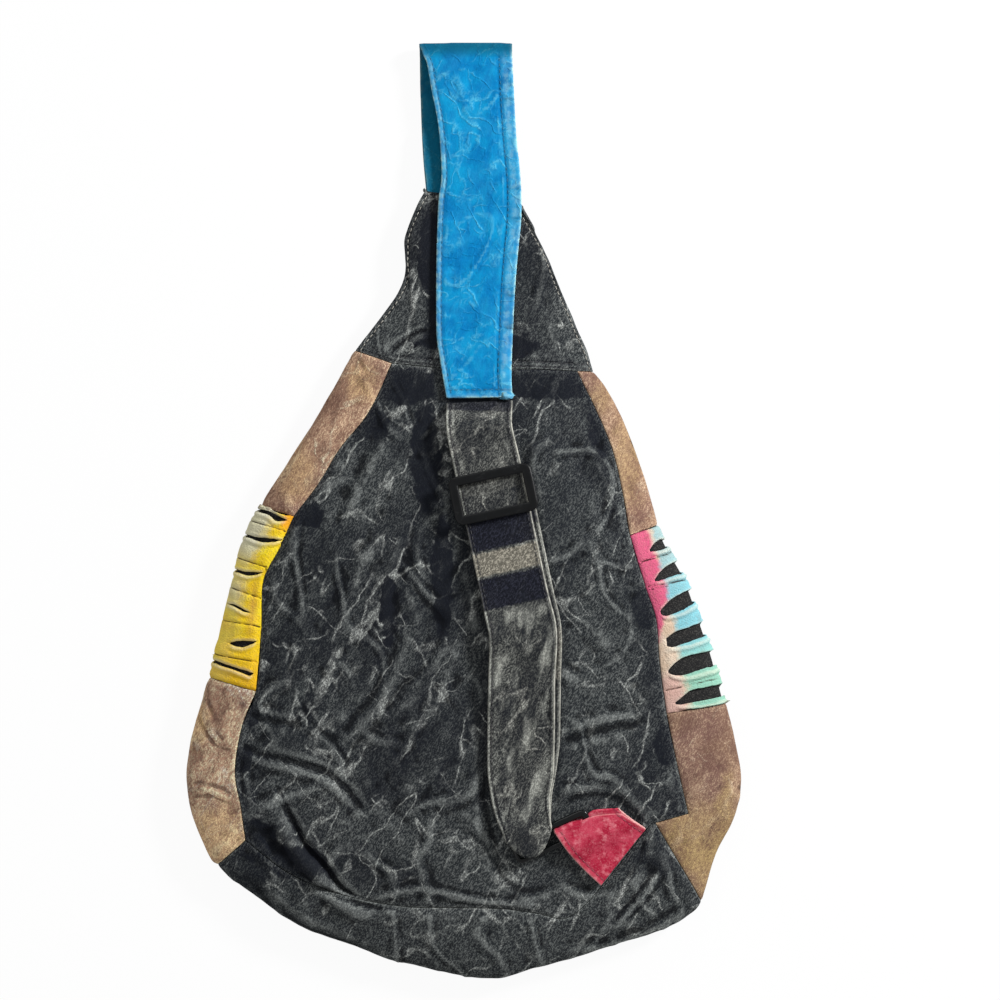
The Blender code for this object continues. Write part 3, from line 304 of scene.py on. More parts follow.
# folds on the back: line in the top view, valley depth and width, ridge beside it, in mm;
# a positive ridge offset lies to the left of the line's run
folds = [
    ([(240, 740), (259, 751), (291, 759), (323, 768), (342, 781), (361, 803)], 1.8, 2.4, 1.0,
     -4.5),
    ([(286, 804), (297, 826), (310, 848), (326, 864), (339, 883), (358, 898), (380, 904)], 4.6,
     2.2, 2.6, -7.5),
    ([(243, 838), (259, 828), (274, 842), (288, 860)], 1.8, 6.0, 0.0, 0.0),
    ([(445, 405), (430, 430), (410, 465)], 1.2, 5.0, 0.8, 8.0),
    ([(240, 700), (262, 716), (300, 722)], 0.9, 3.0, 0.7, 4.0),
    ([(370, 905), (420, 893), (480, 905), (540, 912)], 0.0, 3.0, 1.2, 4.0),
    ([(556, 742), (590, 730), (640, 720)], 0.9, 4.0, 0.8, 6.0),
    ([(380, 420), (352, 480), (330, 530)], 0.8, 5.0, 0.8, 7.0),
    ([(420, 520), (400, 585), (395, 640)], 0.8, 5.0, 0.7, -7.0),
    ([(560, 420), (600, 500), (620, 560)], 0.8, 6.0, 0.8, 8.0),
    ([(398, 640), (370, 700), (330, 740)], 0.7, 4.5, 0.8, 6.0),
    ([(656, 866), (640, 888), (613, 919)], 0.5, 2.0, 1.0, 3.0),
    ([(600, 886), (612, 868), (630, 848), (647, 826)], -2.2, 2.6, 0.0, 0.0),
    ([(245, 880), (300, 925), (370, 955)], 0.8, 4.0, 0.9, 6.0),
    ([(560, 940), (620, 935), (680, 905)], 0.8, 4.0, 0.9, -6.0),
    ([(187, 790), (210, 789), (232, 797)], -0.9, 1.3, 0.0, 0.0),
    ([(190, 700), (215, 742), (236, 746)], 0.4, 1.2, 0.5, 2.0),
    ([(440, 327), (415, 333), (398, 345), (391, 352)], 1.1, 1.8, 0.9, 3.5),
    ([(530, 230), (536, 262), (530, 300)], 0.6, 3.0, 0.6, 5.0),
]

strapOver = smoothCurve(inMetres([(1.5, 281.4), (4.5, 251.4), (9.0, 215.0), (10.5, 190.0),
                                  (9.3, 155.4), (7.5, 107.4), (9.0, 85.0), (9.9, 64.8)]))
webLine = smoothCurve(inMetres([(9.9, 64.8), (14.0, 36.0), (18.3, 8.4), (26.0, -28.0),
                                (33.0, -61.0), (35.0, -102.6), (34.5, -150.6), (34.7, -172.0),
                                (38.5, -190.0), (42.0, -206.0)]))


def clothRelief(points, amount=1.0):
    # sag, slanted rolls, sharp creases where a slow noise crosses zero, and fine crumples
    p = points
    warp = np.stack([softNoise(p, 0.035, s) for s in (11, 12, 13)], axis=-1) * 0.010
    q = p + warp
    sag = softNoise(p, 0.075, 1) * 1.3
    lean = easeStep(-0.25, 0.2, softNoise(p, 0.11, 9) + (0.02 - p[..., 1]) * -1.2)
    rolls = softNoise(slanted(q, 62, 4.5), 0.0105, 2) * (0.25 + lean * 0.75)
    rolls += softNoise(slanted(q, 128, 3.2), 0.012, 8) * (1 - lean) * 0.8
    rolls += softNoise(slanted(q, 70, 2.4), 0.022, 10) * 0.7
    gate = easeStep(-0.1, 0.7, softNoise(p, 0.05, 3))
    crease = bell(softNoise(slanted(q, 55, 2.0), 0.030, 4), 0.10) * gate
    crease += bell(softNoise(slanted(q, 110, 2.0), 0.024, 5), 0.10) * (1 - gate) * 0.8
    fine = softNoise(slanted(q, 70, 1.5), 0.0065, 6) * 0.24 + softNoise(p, 0.0036, 7) * 0.11
    return (sag + rolls * 0.75 + crease * 0.9 + fine) * amount * mm


def foldRelief(plan):
    total = np.zeros(plan.shape[:-1])
    for line, depth, width, ridge, offset in folds:
        signed, share = strokeDistance(plan, smoothCurve(fromView(line), 4))
        taper = np.sin(math.pi * np.clip(share, 0.02, 0.98)) ** 0.5
        total -= depth * bell(signed / mm, width) * taper
        if ridge:
            total += ridge * bell(signed / mm - offset, abs(offset) * 0.6) * taper
    return total * mm


def underLoad(plan):  # 1 where the strap or the webbing lies on the cloth
    strap = 1 - easeStep(carried["strap"] - 0.002, carried["strap"] + 0.006,
                         np.abs(strokeDistance(plan, strapOver[::4])[0]))
    web = 1 - easeStep(carried["webbing"] - 0.001, carried["webbing"] + 0.006,
                       np.abs(strokeDistance(plan, webLine[::4])[0]))
    tab = 1 - easeStep(0.028, 0.034, np.linalg.norm(plan - inMetres((79.0, -198.0)), axis=-1))
    return np.maximum(np.maximum(strap, web), tab)


def seamRelief(runs, sides, depth, rounding):
    # a sewn edge turns in: a quarter circle of that radius drops by depth at the seam
    total = 0
    for side in sides:
        d = np.clip(runs[side] / (rounding * mm), 0, 1)
        total = np.minimum(total, -depth * mm * (1 - np.sqrt(1 - (1 - d) ** 2)))
    return total


def puckers(points, distance):
    # short ripples that fade within a centimetre of a seam
    return (softNoise(points, 0.0075, 21) * 0.42 + softNoise(points, 0.013, 22) * 0.3) \
        * np.exp(-distance / 0.007) * mm


def worn(move, full):  # 1 on ridges and -1 in hollows whose bend reaches full, in mm; ridges are painted paler as wear, hollows darker as painted shade
    step = np.gradient(move)
    bend = np.gradient(step[0], axis=0) + np.gradient(step[1], axis=1)
    return np.clip(-bend / (full * mm), -1, 1)


def dress(grid, flip, grooves=(), amount=1.0, withFolds=True,
          sides=("top", "bottom", "left", "right")):
    # moves a panel's grid along its normals by every relief; also returns fields for its look
    normals = gridNormals(grid, flip)
    runs = edgeRuns(grid)
    nearest = np.minimum.reduce([runs[side] for side in sides])
    move = clothRelief(grid, amount) * easeStep(0.0, 0.006, nearest)
    move += puckers(grid, nearest)
    upward = easeStep(0.2, 0.7, normals[..., 2])
    if withFolds:
        move += foldRelief(grid[..., :2]) * upward * easeStep(0.0, 0.004, nearest)
        load = underLoad(grid[..., :2]) * upward
        move = move * (1 - load) + np.minimum(move * 0.3, 0) * load - carried["low"] * mm * load
    move += seamRelief(runs, sides, bag["seamDip"], bag["seamRound"])
    for side, distance in grooves:
        move -= 0.4 * bell((runs[side] - distance * mm) / mm, 0.55) * mm
    result = grid + normals * move[..., None]
    result[..., 2] = np.maximum(result[..., 2], 0.0)
    for rim, inner in (((0, slice(None)), (1, slice(None))),
                       ((-1, slice(None)), (-2, slice(None))),
                       ((slice(None), 0), (slice(None), 1)),
                       ((slice(None), -1), (slice(None), -2))):
        away = result[inner] - result[rim]
        length = np.maximum(np.linalg.norm(away, axis=-1, keepdims=True), 1e-6)
        result[rim] += away / length * np.minimum(bag["seamInset"] * mm, length * 0.5)
    return result, {"ridgeWearAndCreaseShade": worn(move, 0.22), "seam": np.exp(-nearest / (3 * mm))}


# meshes

def gridPiece(name, grid, flip, fields=None, keep=None, uv=None, thickness=None):
    # quads between neighbouring grid points, those where keep is false left out
    rows, columns = grid.shape[:2]
    index = np.arange(rows * columns).reshape(rows, columns)
    quads = np.stack([index[:-1, :-1], index[1:, :-1], index[1:, 1:], index[:-1, 1:]], axis=-1)
    quads = quads[..., ::-1] if flip else quads
    quads = quads.reshape(-1, 4) if keep is None else quads[keep]
    used = np.unique(quads)
    number = np.zeros(rows * columns, int)
    number[used] = np.arange(len(used))
    quads = number[quads]
    mesh = bpy.data.meshes.new(name)
    mesh.vertices.add(len(used))
    mesh.vertices.foreach_set("co", grid.reshape(-1, 3)[used].astype(np.float32).ravel())
    mesh.loops.add(quads.size)
    mesh.loops.foreach_set("vertex_index", quads.astype(np.int32).ravel())
    mesh.polygons.add(len(quads))
    mesh.polygons.foreach_set("loop_start", np.arange(0, quads.size, 4, dtype=np.int32))
    mesh.polygons.foreach_set("use_smooth", np.ones(len(quads), bool))
    mesh.update(calc_edges=True)
    if uv is None:
        runs = edgeRuns(grid)
        uv = np.stack([runs["left"], runs["top"]], axis=-1)
    layer = mesh.uv_layers.new(name="cloth")
    layer.data.foreach_set("uv", uv.reshape(-1, 2)[used][quads.ravel()].astype(np.float32).ravel())
    for field, values in (fields or {}).items():
        attribute = mesh.attributes.new(field, "FLOAT", "POINT")
        attribute.data.foreach_set("value", values.ravel()[used].astype(np.float32))
    thing = bpy.data.objects.new(name, mesh)
    bpy.context.scene.collection.objects.link(thing)
    if thickness:
        wall = thing.modifiers.new("wall", "SOLIDIFY")
        wall.thickness = thickness * mm
        wall.offset = -1
    return thing


def meshPiece(name, points, faces, smooth=True):
    mesh = bpy.data.meshes.new(name)
    mesh.from_pydata([tuple(p) for p in np.asarray(points).reshape(-1, 3).tolist()], [], faces)
    mesh.polygons.foreach_set("use_smooth", np.full(len(mesh.polygons), smooth))
    mesh.update()
    thing = bpy.data.objects.new(name, mesh)
    bpy.context.scene.collection.objects.link(thing)
    return thing


def dressed(thing, material, body="bag", nodes=()):
    thing.data.materials.append(material)
    if body:
        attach(thing, body)
    if nodes:
        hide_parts(*nodes)
    return thing


thread = {"length": 2.5, "gap": 1.0, "radius": 0.26, "sides": 6, "sink": 0.10}


def stitches(name, rows, material, body="bag", settings=thread):
    # each stitch is a capsule of rings along its run, set on the cloth at an even pitch
    profile = np.array([(-0.5, 0.30), (-0.38, 0.85), (0.0, 1.0), (0.38, 0.85), (0.5, 0.30)])
    angles = np.linspace(0, 2 * math.pi, settings["sides"], endpoint=False)
    blocks = []
    for path, normals in rows:
        run = runLength(path)
        pitch = (settings["length"] + settings["gap"]) * mm
        count = int(run[-1] / pitch)
        if count < 1:
            continue
        middle = (np.arange(count) + 0.5) * run[-1] / count
        half = settings["length"] * mm / 2
        ends = [np.stack([np.interp(middle + s * half, run, path[:, k]) for k in range(3)], axis=1)
                for s in (-1, 1)]
        up = np.stack([np.interp(middle, run, normals[:, k]) for k in range(3)], axis=1)
        along = ends[1] - ends[0]
        side = np.cross(up, along)
        side /= np.maximum(np.linalg.norm(side, axis=1, keepdims=True), 1e-9)
        up /= np.maximum(np.linalg.norm(up, axis=1, keepdims=True), 1e-9)
        core = (ends[0] + ends[1])[:, None] / 2 + along[:, None] * profile[None, :, :1]
        core = core + up[:, None] * (profile[None, :, 1:] * 1.3 - 1.0) * settings["radius"] * mm
        ring = (side[:, None, None] * np.cos(angles)[None, None, :, None]
                + up[:, None, None] * np.sin(angles)[None, None, :, None] * 0.8)
        blocks.append(core[:, :, None] + ring
                      * (profile[:, 1] * settings["radius"] * mm)[None, :, None, None])
    points = np.concatenate(blocks)
    count, sections, sides = points.shape[:3]
    index = np.arange(points.size // 3).reshape(count, sections, sides)
    after = np.roll(index, -1, axis=2)
    walls = np.stack([index[:, :-1], after[:, :-1], after[:, 1:], index[:, 1:]],
                     axis=-1).reshape(-1, 4)
    caps = np.concatenate([index[:, 0, ::-1], index[:, -1]])
    thing = meshPiece(name, points, walls.tolist() + caps.tolist())
    return dressed(thing, material, body)


def rowOn(grid, flip, side, distance, start=0.0, end=1.0):
    # a line on a finished grid at that distance in mm from one edge
    runs = edgeRuns(grid)[side]
    normals = gridNormals(grid, flip)
    both = np.concatenate([grid, normals], axis=2)
    if side in ("top", "bottom"):
        runs, both = runs.T, both.transpose(1, 0, 2)
    if side in ("bottom", "right"):
        runs, both = runs[:, ::-1], both[:, ::-1]
    line = np.array([[np.interp(distance * mm, run, part[:, k]) for k in range(6)]
                     for run, part in zip(runs, both)])
    low, high = int(start * len(line)), int(math.ceil(end * len(line)))
    return line[low:high, :3], line[low:high, 3:]


# shader maths

class Value:  # one number carried through a material's nodes
    def __init__(self, finish, socket):
        self.finish, self.socket = finish, socket

    def math(self, operation, *others):
        return self.finish.node("Math", {"operation": operation},
                                dict(enumerate((self,) + others)))

    def __add__(self, other):
        return self.math("ADD", other)

    def __mul__(self, other):
        return self.math("MULTIPLY", other)

    def __sub__(self, other):
        return self.math("SUBTRACT", other)

    def __rsub__(self, other):
        return self.finish.node("Math", {"operation": "SUBTRACT"}, {0: other, 1: self})

    def __abs__(self):
        return self.math("ABSOLUTE")

    __radd__, __rmul__ = __add__, __mul__

    def step(self, low, high, outLow=0.0, outHigh=1.0):  # smooth step between two values
        return self.finish.node("MapRange", {"interpolation_type": "SMOOTHSTEP"},
                                {"Value": self, "From Min": low, "From Max": high,
                                 "To Min": outLow, "To Max": outHigh})

    def clamp(self):
        return self.finish.node("Clamp", {}, {"Value": self})


class Finish:  # a material and the few ways its nodes are made
    def __init__(self, name, **fixed):
        self.material = bpy.data.materials.new(name)
        self.material.use_nodes = True
        self.tree = self.material.node_tree
        self.shader = self.tree.nodes["Principled BSDF"]
        for socket, value in fixed.items():
            self.shader.inputs[socket.replace("_", " ")].default_value = value
        self.place = self.node("TexCoord", {}, {}, "Object")
        self.cloth = self.node("TexCoord", {}, {}, "UV")

    def node(self, kind, settings, inputs, output=0):
        made = self.tree.nodes.new("ShaderNode" + kind)
        for key, value in settings.items():
            setattr(made, key, value)
        for key, value in inputs.items():
            if isinstance(value, Value):
                self.tree.links.new(value.socket, made.inputs[key])
            else:
                made.inputs[key].default_value = value
        return Value(self, made.outputs[output])

    def feed(self, socket, value):
        self.tree.links.new(value.socket, self.shader.inputs[socket])

    def noise(self, size, detail=2.0, roughness=0.5, vector=None):
        # size in mm of the largest lumps
        return self.node("TexNoise", {}, {"Vector": vector or self.place, "Scale": 1 / (size * mm),
                                          "Detail": detail, "Roughness": roughness})

    def turned(self, angle, stretch, vector=None):  # pattern drawn out along an angle
        return self.node("Mapping", {"vector_type": "TEXTURE"},
                         {"Vector": vector or self.place, "Rotation": (0, 0, math.radians(angle)),
                          "Scale": (stretch, 1, 1)})

    def warped(self, amount, size, vector=None):  # moved by a noise of that size, both in mm
        vector = vector or self.place
        push = self.node("TexNoise", {},
                         {"Vector": vector, "Scale": 1 / (size * mm), "Detail": 2.0},
                         "Color")
        push = self.node("VectorMath", {"operation": "SUBTRACT"}, {0: push, 1: (0.5, 0.5, 0.5)})
        push = self.node("VectorMath", {"operation": "SCALE"}, {0: push, "Scale": amount * mm * 2})
        return self.node("VectorMath", {"operation": "ADD"}, {0: vector, 1: push})

    def strokes(self, size, width, angle, stretch, vector=None):
        # long thin lines where a drawn-out noise crosses its middle value
        vector = self.turned(angle, stretch, self.warped(size * 0.26, size * 0.9, vector))
        return abs(self.noise(size, 1.5, 0.45, vector) - 0.5).step(0.0, width * 0.9 / size, 1.0,
                                                                   0.0)

    def field(self, name):
        return self.node("Attribute", {"attribute_name": name}, {}, "Fac")

    def part(self, vector, axis):  # one coordinate
        return self.node("SeparateXYZ", {}, {0: vector}, axis)

    def spot(self, middle, radius, soft, place):
        # 1 inside an ellipse of those radii in mm, 0 outside
        offset = self.node("VectorMath", {"operation": "SUBTRACT"},
                           {0: place, 1: (middle[0] * mm, middle[1] * mm, 0)})
        offset = self.node("VectorMath", {"operation": "MULTIPLY"},
                           {0: offset, 1: (1 / (radius[0] * mm), 1 / (radius[1] * mm), 0)})
        length = self.node("VectorMath", {"operation": "LENGTH"}, {0: offset}, "Value")
        return length.step(1 - soft, 1 + soft, 1.0, 0.0)

    def mix(self, factor, low, high):
        low, high = [(*c, 1) if isinstance(c, tuple) else c for c in (low, high)]
        return self.node("Mix", {"data_type": "RGBA"}, {0: factor, 6: low, 7: high}, 2)

    def bump(self, height, distance):  # distance in mm for a height of 1
        self.feed("Normal", self.node("Bump", {}, {"Height": height, "Distance": distance * mm,
                                                   "Strength": 1.0}))


# stone-washed cottons: colours are linear
charcoal = {"deep": (0.0075, 0.0090, 0.0135), "body": (0.027, 0.031, 0.033),
            "worn": (0.24, 0.255, 0.247), "vein": (0.56, 0.58, 0.55), "washed": 0.60,
            "lines": 0.75}


def washedCotton(name, look, plainSpots=(), paleSpots=(), paleAmount=0.0):
    finish = Finish(name, Roughness=0.95, Specular_IOR_Level=0.10)
    place = finish.place
    twill = finish.noise(0.80, 1.0, 0.6, finish.turned(58, 2.4, place))
    grain = finish.noise(0.75, 1.0, 0.6, place)
    speck = (twill * 0.6 + grain * 0.4).step(0.43, 0.64)
    cloud = finish.noise(26, 3.0, 0.6, finish.turned(60, 2.0, finish.warped(9, 22, place)))
    patch = finish.noise(7, 3.0, 0.62, finish.turned(64, 2.8, place))
    wash = (cloud * 0.55 + patch * 0.45).step(0.37, 0.70) * 0.78 + 0.22
    wobble = finish.warped(5, 7, place)
    for middle, radius in plainSpots:
        wash = wash * (1 - finish.spot(middle, radius, 0.12, wobble) * 0.92)
    for middle, radius in paleSpots:
        wash = wash + finish.spot(middle, radius, 0.5, wobble) * paleAmount
    wash = wash.clamp()
    gate = finish.noise(21, 2.0, 0.5, place).step(0.42, 0.62)
    second = finish.noise(15, 2.0, 0.5, finish.turned(20, 1.5, place)).step(0.50, 0.64)
    veins = finish.strokes(18, 0.48, 60, 5.0, place) * gate
    veins = veins.math("MAXIMUM", finish.strokes(15, 0.44, 128, 4.5, place) * second * 0.9)
    veins = veins.math("MAXIMUM",
                       finish.strokes(14, 0.36, 20, 3.4, place) * (1 - gate) * second * 0.8)
    veins = veins * wash.step(0.0, 0.25) * (0.25 + speck * 0.75)
    # bend field: ridges turn paler as wear, hollows darken as painted shade
    ridgeWearAndCreaseShade = finish.field("ridgeWearAndCreaseShade")
    ridge = ridgeWearAndCreaseShade.step(0.15, 1.0) * (0.35 + speck * 0.5)
    hollowShade = (ridgeWearAndCreaseShade * -1).step(0.2, 1.0)
    seam = finish.field("seam")
    colour = finish.mix(wash * look["washed"] + speck * wash * 0.55, look["deep"], look["body"])
    colour = finish.mix(speck * wash * look["washed"] * 0.62, colour, look["worn"])
    colour = finish.mix((ridge * wash * 0.85 + seam * speck * 0.32).clamp(), colour, look["worn"])
    colour = finish.mix((veins * look.get("lines", 0.50)).clamp(), colour, look["vein"])
    # painted shade: the cloth's hollows darkened towards a deeper tone of its colour
    colour = finish.mix(hollowShade * 0.75, colour, tuple(c * 0.3 for c in look["deep"]))
    return finish, colour, speck, veins


def closeCotton(finish, colour, speck, veins, depth=0.25):
    finish.feed("Base Color", colour)
    finish.bump(speck * 0.55 + veins * 0.9 + finish.noise(5, 2.0) * 1.2, depth)
    return finish.material


plainNavy = [((-34, 74), (17, 12)), ((48, 76), (32, 11)), ((84, 60), (9, 30)),
             ((-93, -4), (11, 8)),
             ((-128, -120), (7, 10)), ((-124, -197), (14, 13)), ((-131, -150), (6, 7)),
             ((-97, -212), (18, 11)), ((108, -60), (8, 12)), ((121, -140), (8, 12)),
             ((4, 70), (14, 22)), ((-56, 50), (12, 14)), ((-22, 30), (9, 34)),
             ((-12, -40), (6, 40)), ((-44, -60), (5, 22))]
paleGrey = [((0, -262), (150, 34)), ((30, -200), (60, 22)),
            ((-20, -255), (70, 16)), ((80, -100), (22, 60)), ((-60, 20), (20, 22)),
            ((96, -235), (34, 20)), ((-90, -165), (26, 22)), ((-40, -190), (40, 14))]
bleached = [((68, 95), (11, 6)), ((-48, 104), (13, 9)), ((-30, 118), (8, 14)),
            ((60, 118), (6, 12))]


def charcoalCotton(name, plain, pale, amount):
    return closeCotton(*washedCotton(name, charcoal, plain, pale, amount))


print("materials: charcoal cotton")
backCotton = charcoalCotton("charcoal_back", plainNavy, paleGrey, 0.60)
yokeCotton = charcoalCotton("charcoal_yoke", [((20, 98), (26, 9)), ((-22, 112), (16, 16)),
                                              ((-18, 150), (9, 30))], bleached, 1.0)
frontCotton = charcoalCotton("charcoal_front", [], [], 0.0)

brown = {"deep": (0.145, 0.076, 0.054), "body": (0.315, 0.195, 0.130),
         "worn": (0.74, 0.54, 0.36), "vein": (0.86, 0.68, 0.50), "washed": 1.0, "lines": 0.60}


def brownCotton(name, golden, goldAt, rosyAt, paintedLightScale=1.0):
    # tan-pink brown that turns golden in places, with darker wine-brown edges
    # the last argument scales the whole panel's colour: painted light, lighter on the left panels
    # and darker on the right lower one
    look = {key: tuple(min(c * paintedLightScale, 0.95) for c in value) if isinstance(value, tuple) else value
            for key, value in brown.items()}
    golden = tuple(min(c * paintedLightScale, 0.9) for c in golden)
    finish, colour, speck, veins = washedCotton(name, look)
    wobble = finish.warped(9, 14)
    for middle, radius in goldAt:
        spot = finish.spot(middle, radius, 0.45, wobble)
        colour = finish.mix(spot * (0.25 + speck * 0.35), colour, golden)
    for middle, radius in rosyAt:
        spot = finish.spot(middle, radius, 0.5, wobble)
        colour = finish.mix(spot * (0.42 - speck * 0.15), colour, (0.115, 0.052, 0.060))
    dark = finish.noise(1.5, 2.0, 0.6, finish.turned(58, 1.8)).step(0.50, 0.64) * 0.5
    cloud = finish.noise(13, 3.0, 0.6, finish.turned(70, 1.8, wobble)).step(0.47, 0.66) * 0.55
    colour = finish.mix((dark + cloud).clamp() * 0.8, colour, (0.125, 0.066, 0.050))
    return closeCotton(finish, colour, speck, veins)


# the last number of each is painted light: the left panels lighter, the right lower one darker
leftUpperBrown = brownCotton("brown_left_upper", (0.47, 0.315, 0.15),
                             [((-100, 22), (12, 16)), ((-60, 75), (9, 12))],
                             [((-45, 80), (9, 12)), ((-83, 10), (12, 10)), ((-103, -2), (12, 5))],
                             1.35)
leftLowerBrown = brownCotton("brown_left_lower", (0.50, 0.34, 0.16),
                             [((-142, -196), (22, 20)), ((-158, -130), (6, 14))],
                             [((-134, -182), (7, 9)), ((-126, -118), (7, 12)),
                              ((-152, -178), (7, 5))], 1.75)
rightUpperBrown = brownCotton("brown_right_upper", (0.40, 0.275, 0.125),
                              [((100, 30), (10, 30)), ((84, 70), (8, 12))],
                              [((104, 0), (8, 12)), ((76, 78), (8, 8))])
rightLowerBrown = brownCotton("brown_right_lower", (0.52, 0.37, 0.15),
                              [((138, -196), (22, 18)), ((148, -215), (14, 18)),
                               ((158, -180), (6, 20))],
                              [((130, -150), (12, 22)), ((144, -128), (14, 12)),
                               ((150, -160), (8, 14))], 0.85)


# tie-dyed inserts: their UV map runs 0 to 1 across (back seam to front seam) and down
def insertCotton(name, look):
    finish = Finish(name, Roughness=0.95, Specular_IOR_Level=0.10)
    across, down = finish.part(finish.cloth, 0), finish.part(finish.cloth, 1)
    speck = (finish.noise(0.8, 1.0, 0.6) * 0.6 + finish.noise(1.6, 1.0) * 0.4).step(0.38, 0.66)
    cloud = finish.noise(9, 3.0, 0.6)
    colour = look(finish, across, down, cloud)
    lip = finish.field("lip")
    colour = finish.mix(speck * 0.16, colour, (0.30, 0.24, 0.16))
    colour = finish.mix((lip * (0.25 + cloud * 0.5)).clamp() * 0.8, colour, (0.66, 0.63, 0.52))
    # painted shade: the hollows of the cloth's bend darkened to brown
    ridgeWearAndCreaseShade = finish.field("ridgeWearAndCreaseShade")
    colour = finish.mix((ridgeWearAndCreaseShade * -1).step(0.15, 0.9) * 0.55, colour, (0.13, 0.06, 0.03))
    # painted shade: ragged dark lines along the sewn tucks, where the cloth dips
    ragged = finish.noise(4, 2.0).step(0.36, 0.52) * 0.85
    colour = finish.mix(finish.field("tuckShade").step(0.30, 0.75) * ragged, colour,
                        (0.035, 0.016, 0.010))
    finish.feed("Base Color", colour)
    finish.bump(speck * 0.8 + cloud * 1.6, 0.25)
    return finish.material


def yellowDye(finish, across, down, cloud):
    soft = cloud * 0.5 - 0.25
    small = finish.noise(3.2, 2.0, 0.6) - 0.5
    colour = finish.mix(cloud.step(0.35, 0.7), (0.80, 0.53, 0.010), (0.90, 0.69, 0.020))
    orange = (down + soft).step(0.66, 0.98) * (0.9 - across * 1.3).clamp()
    colour = finish.mix((orange * 0.62).clamp(), colour, (0.82, 0.36, 0.010))
    middle = (1 - (abs(down - 0.56) * 5).clamp()) * (1 - (abs(across - 0.14) * 9).clamp())
    colour = finish.mix((middle * 0.7).clamp(), colour, (0.62, 0.30, 0.07))
    corner = (0.10 - down + soft * 0.2).step(-0.03, 0.05) * (0.16 - across).step(0.0, 0.08)
    colour = finish.mix(corner * 0.75, colour, (0.80, 0.27, 0.012))
    fade = (across + small * 0.20 + soft * 0.25 - down * 0.10).step(0.13, 0.40)
    bands = (0.34 - down).step(-0.06, 0.12) + (1 - (abs(down - 0.50) * 7).clamp()) * 0.75 + 0.22
    return finish.mix((fade * bands * 0.72).clamp(), colour, (0.60, 0.60, 0.46))


def pinkDye(finish, across, down, cloud):
    soft = cloud * 0.6 - 0.3
    small = finish.noise(3.0, 2.0, 0.6) - 0.5
    colour = finish.mix(cloud.step(0.35, 0.7), (0.56, 0.42, 0.31), (0.66, 0.55, 0.44))
    pink = (0.36 - across - (down - 0.34).clamp() * 1.3 + soft * 0.30 + small * 0.12).step(-0.03,
                                                                                           0.09)
    colour = finish.mix(pink, colour, (0.58, 0.095, 0.19))
    low = (down + soft * 0.3).step(0.74, 0.86) * (0.26 - across).step(0.0, 0.1)
    colour = finish.mix(low * 0.75, colour, (0.52, 0.30, 0.27))
    cyan = finish.mix(down.step(0.12, 0.42), (0.26, 0.42, 0.44), (0.15, 0.45, 0.53))
    cyan = finish.mix(down.step(0.58, 0.85), cyan, (0.20, 0.47, 0.37))
    teal = (across - 0.17 - (0.42 - down).clamp() * 0.42 + soft * 0.22 + small * 0.10).step(0.0,
                                                                                            0.11)
    return finish.mix(teal * 0.92, colour, cyan)


yellowCotton = insertCotton("yellow_dye", yellowDye)
pinkCotton = insertCotton("pink_teal_dye", pinkDye)


def blackLining():
    finish = Finish("black_lining", Roughness=0.92, Specular_IOR_Level=0.2)
    speck = finish.noise(0.9, 2.0, 0.6).step(0.46, 0.68)
    ribs = finish.noise(2.2, 2.0, 0.5, finish.turned(20, 3.3))
    finish.feed("Base Color", finish.mix(speck * 0.35 + ribs * 0.06, (0.0075, 0.0075, 0.0085),
                                         (0.11, 0.105, 0.095)))
    finish.bump(speck + ribs, 0.2)
    return finish.material


liningCloth = blackLining()


def blueCotton():
    finish = Finish("blue_strap", Roughness=0.95, Specular_IOR_Level=0.06)
    weave = finish.noise(0.85, 1.0, 0.6, finish.turned(55, 1.8))
    cloud = finish.noise(20, 3.0, 0.6, finish.warped(7, 15))
    small = finish.noise(5, 3.0, 0.65, finish.turned(75, 2.0))
    colour = finish.mix((cloud * 0.6 + small * 0.4).step(0.36, 0.66), (0.0016, 0.155, 0.40),
                        (0.004, 0.265, 0.53))
    gate = finish.noise(14, 2.0).step(0.44, 0.62)
    veins = finish.strokes(12, 0.5, 128, 2.8) * gate
    veins = veins.math("MAXIMUM", finish.strokes(9, 0.4, 10, 2.2) * (1 - gate) * 0.8)
    veins = veins.math("MAXIMUM", finish.strokes(8, 0.4, 78, 2.4) * (1 - gate) * 0.5)
    halo = finish.strokes(14, 3.2, 68, 2.8) * gate
    colour = finish.mix((halo * 0.12 + weave.step(0.5, 0.75) * 0.12).clamp(), colour,
                        (0.04, 0.34, 0.60))
    colour = finish.mix(veins * cloud.step(0.40, 0.6) * (0.10 + weave.step(0.35, 0.6) * 0.40),
                        colour, (0.16, 0.58, 0.72))
    ridgeWearAndCreaseShade = finish.field("ridgeWearAndCreaseShade")
    colour = finish.mix(ridgeWearAndCreaseShade.step(0.35, 1.0) * 0.3, colour, (0.14, 0.52, 0.66))
    # painted shade: hollows of the strap's bend darkened
    colour = finish.mix((ridgeWearAndCreaseShade * -1).step(0.3, 1.0) * 0.5, colour, (0.003, 0.10, 0.24))
    rim = finish.field("rim") * (0.30 + finish.noise(4, 2.0).step(0.42, 0.62) * 0.70)
    colour = finish.mix(rim.clamp(), colour, (0.42, 0.66, 0.62))
    # painted shade: the strap's stitched grooves darkened
    grooveAndShade = finish.field("grooveAndShade")
    colour = finish.mix(grooveAndShade * 0.55, colour, (0.002, 0.075, 0.22))
    # painted shade: the under layer, behind the fold, darkened where the top layer shades it
    under = finish.field("under")
    colour = finish.mix(under * 0.80, colour, (0.003, 0.07, 0.105))
    finish.feed("Base Color", colour)
    finish.bump(weave * 0.5 + veins + small * 1.4, 0.25)
    return finish.material


strapBlue = blueCotton()


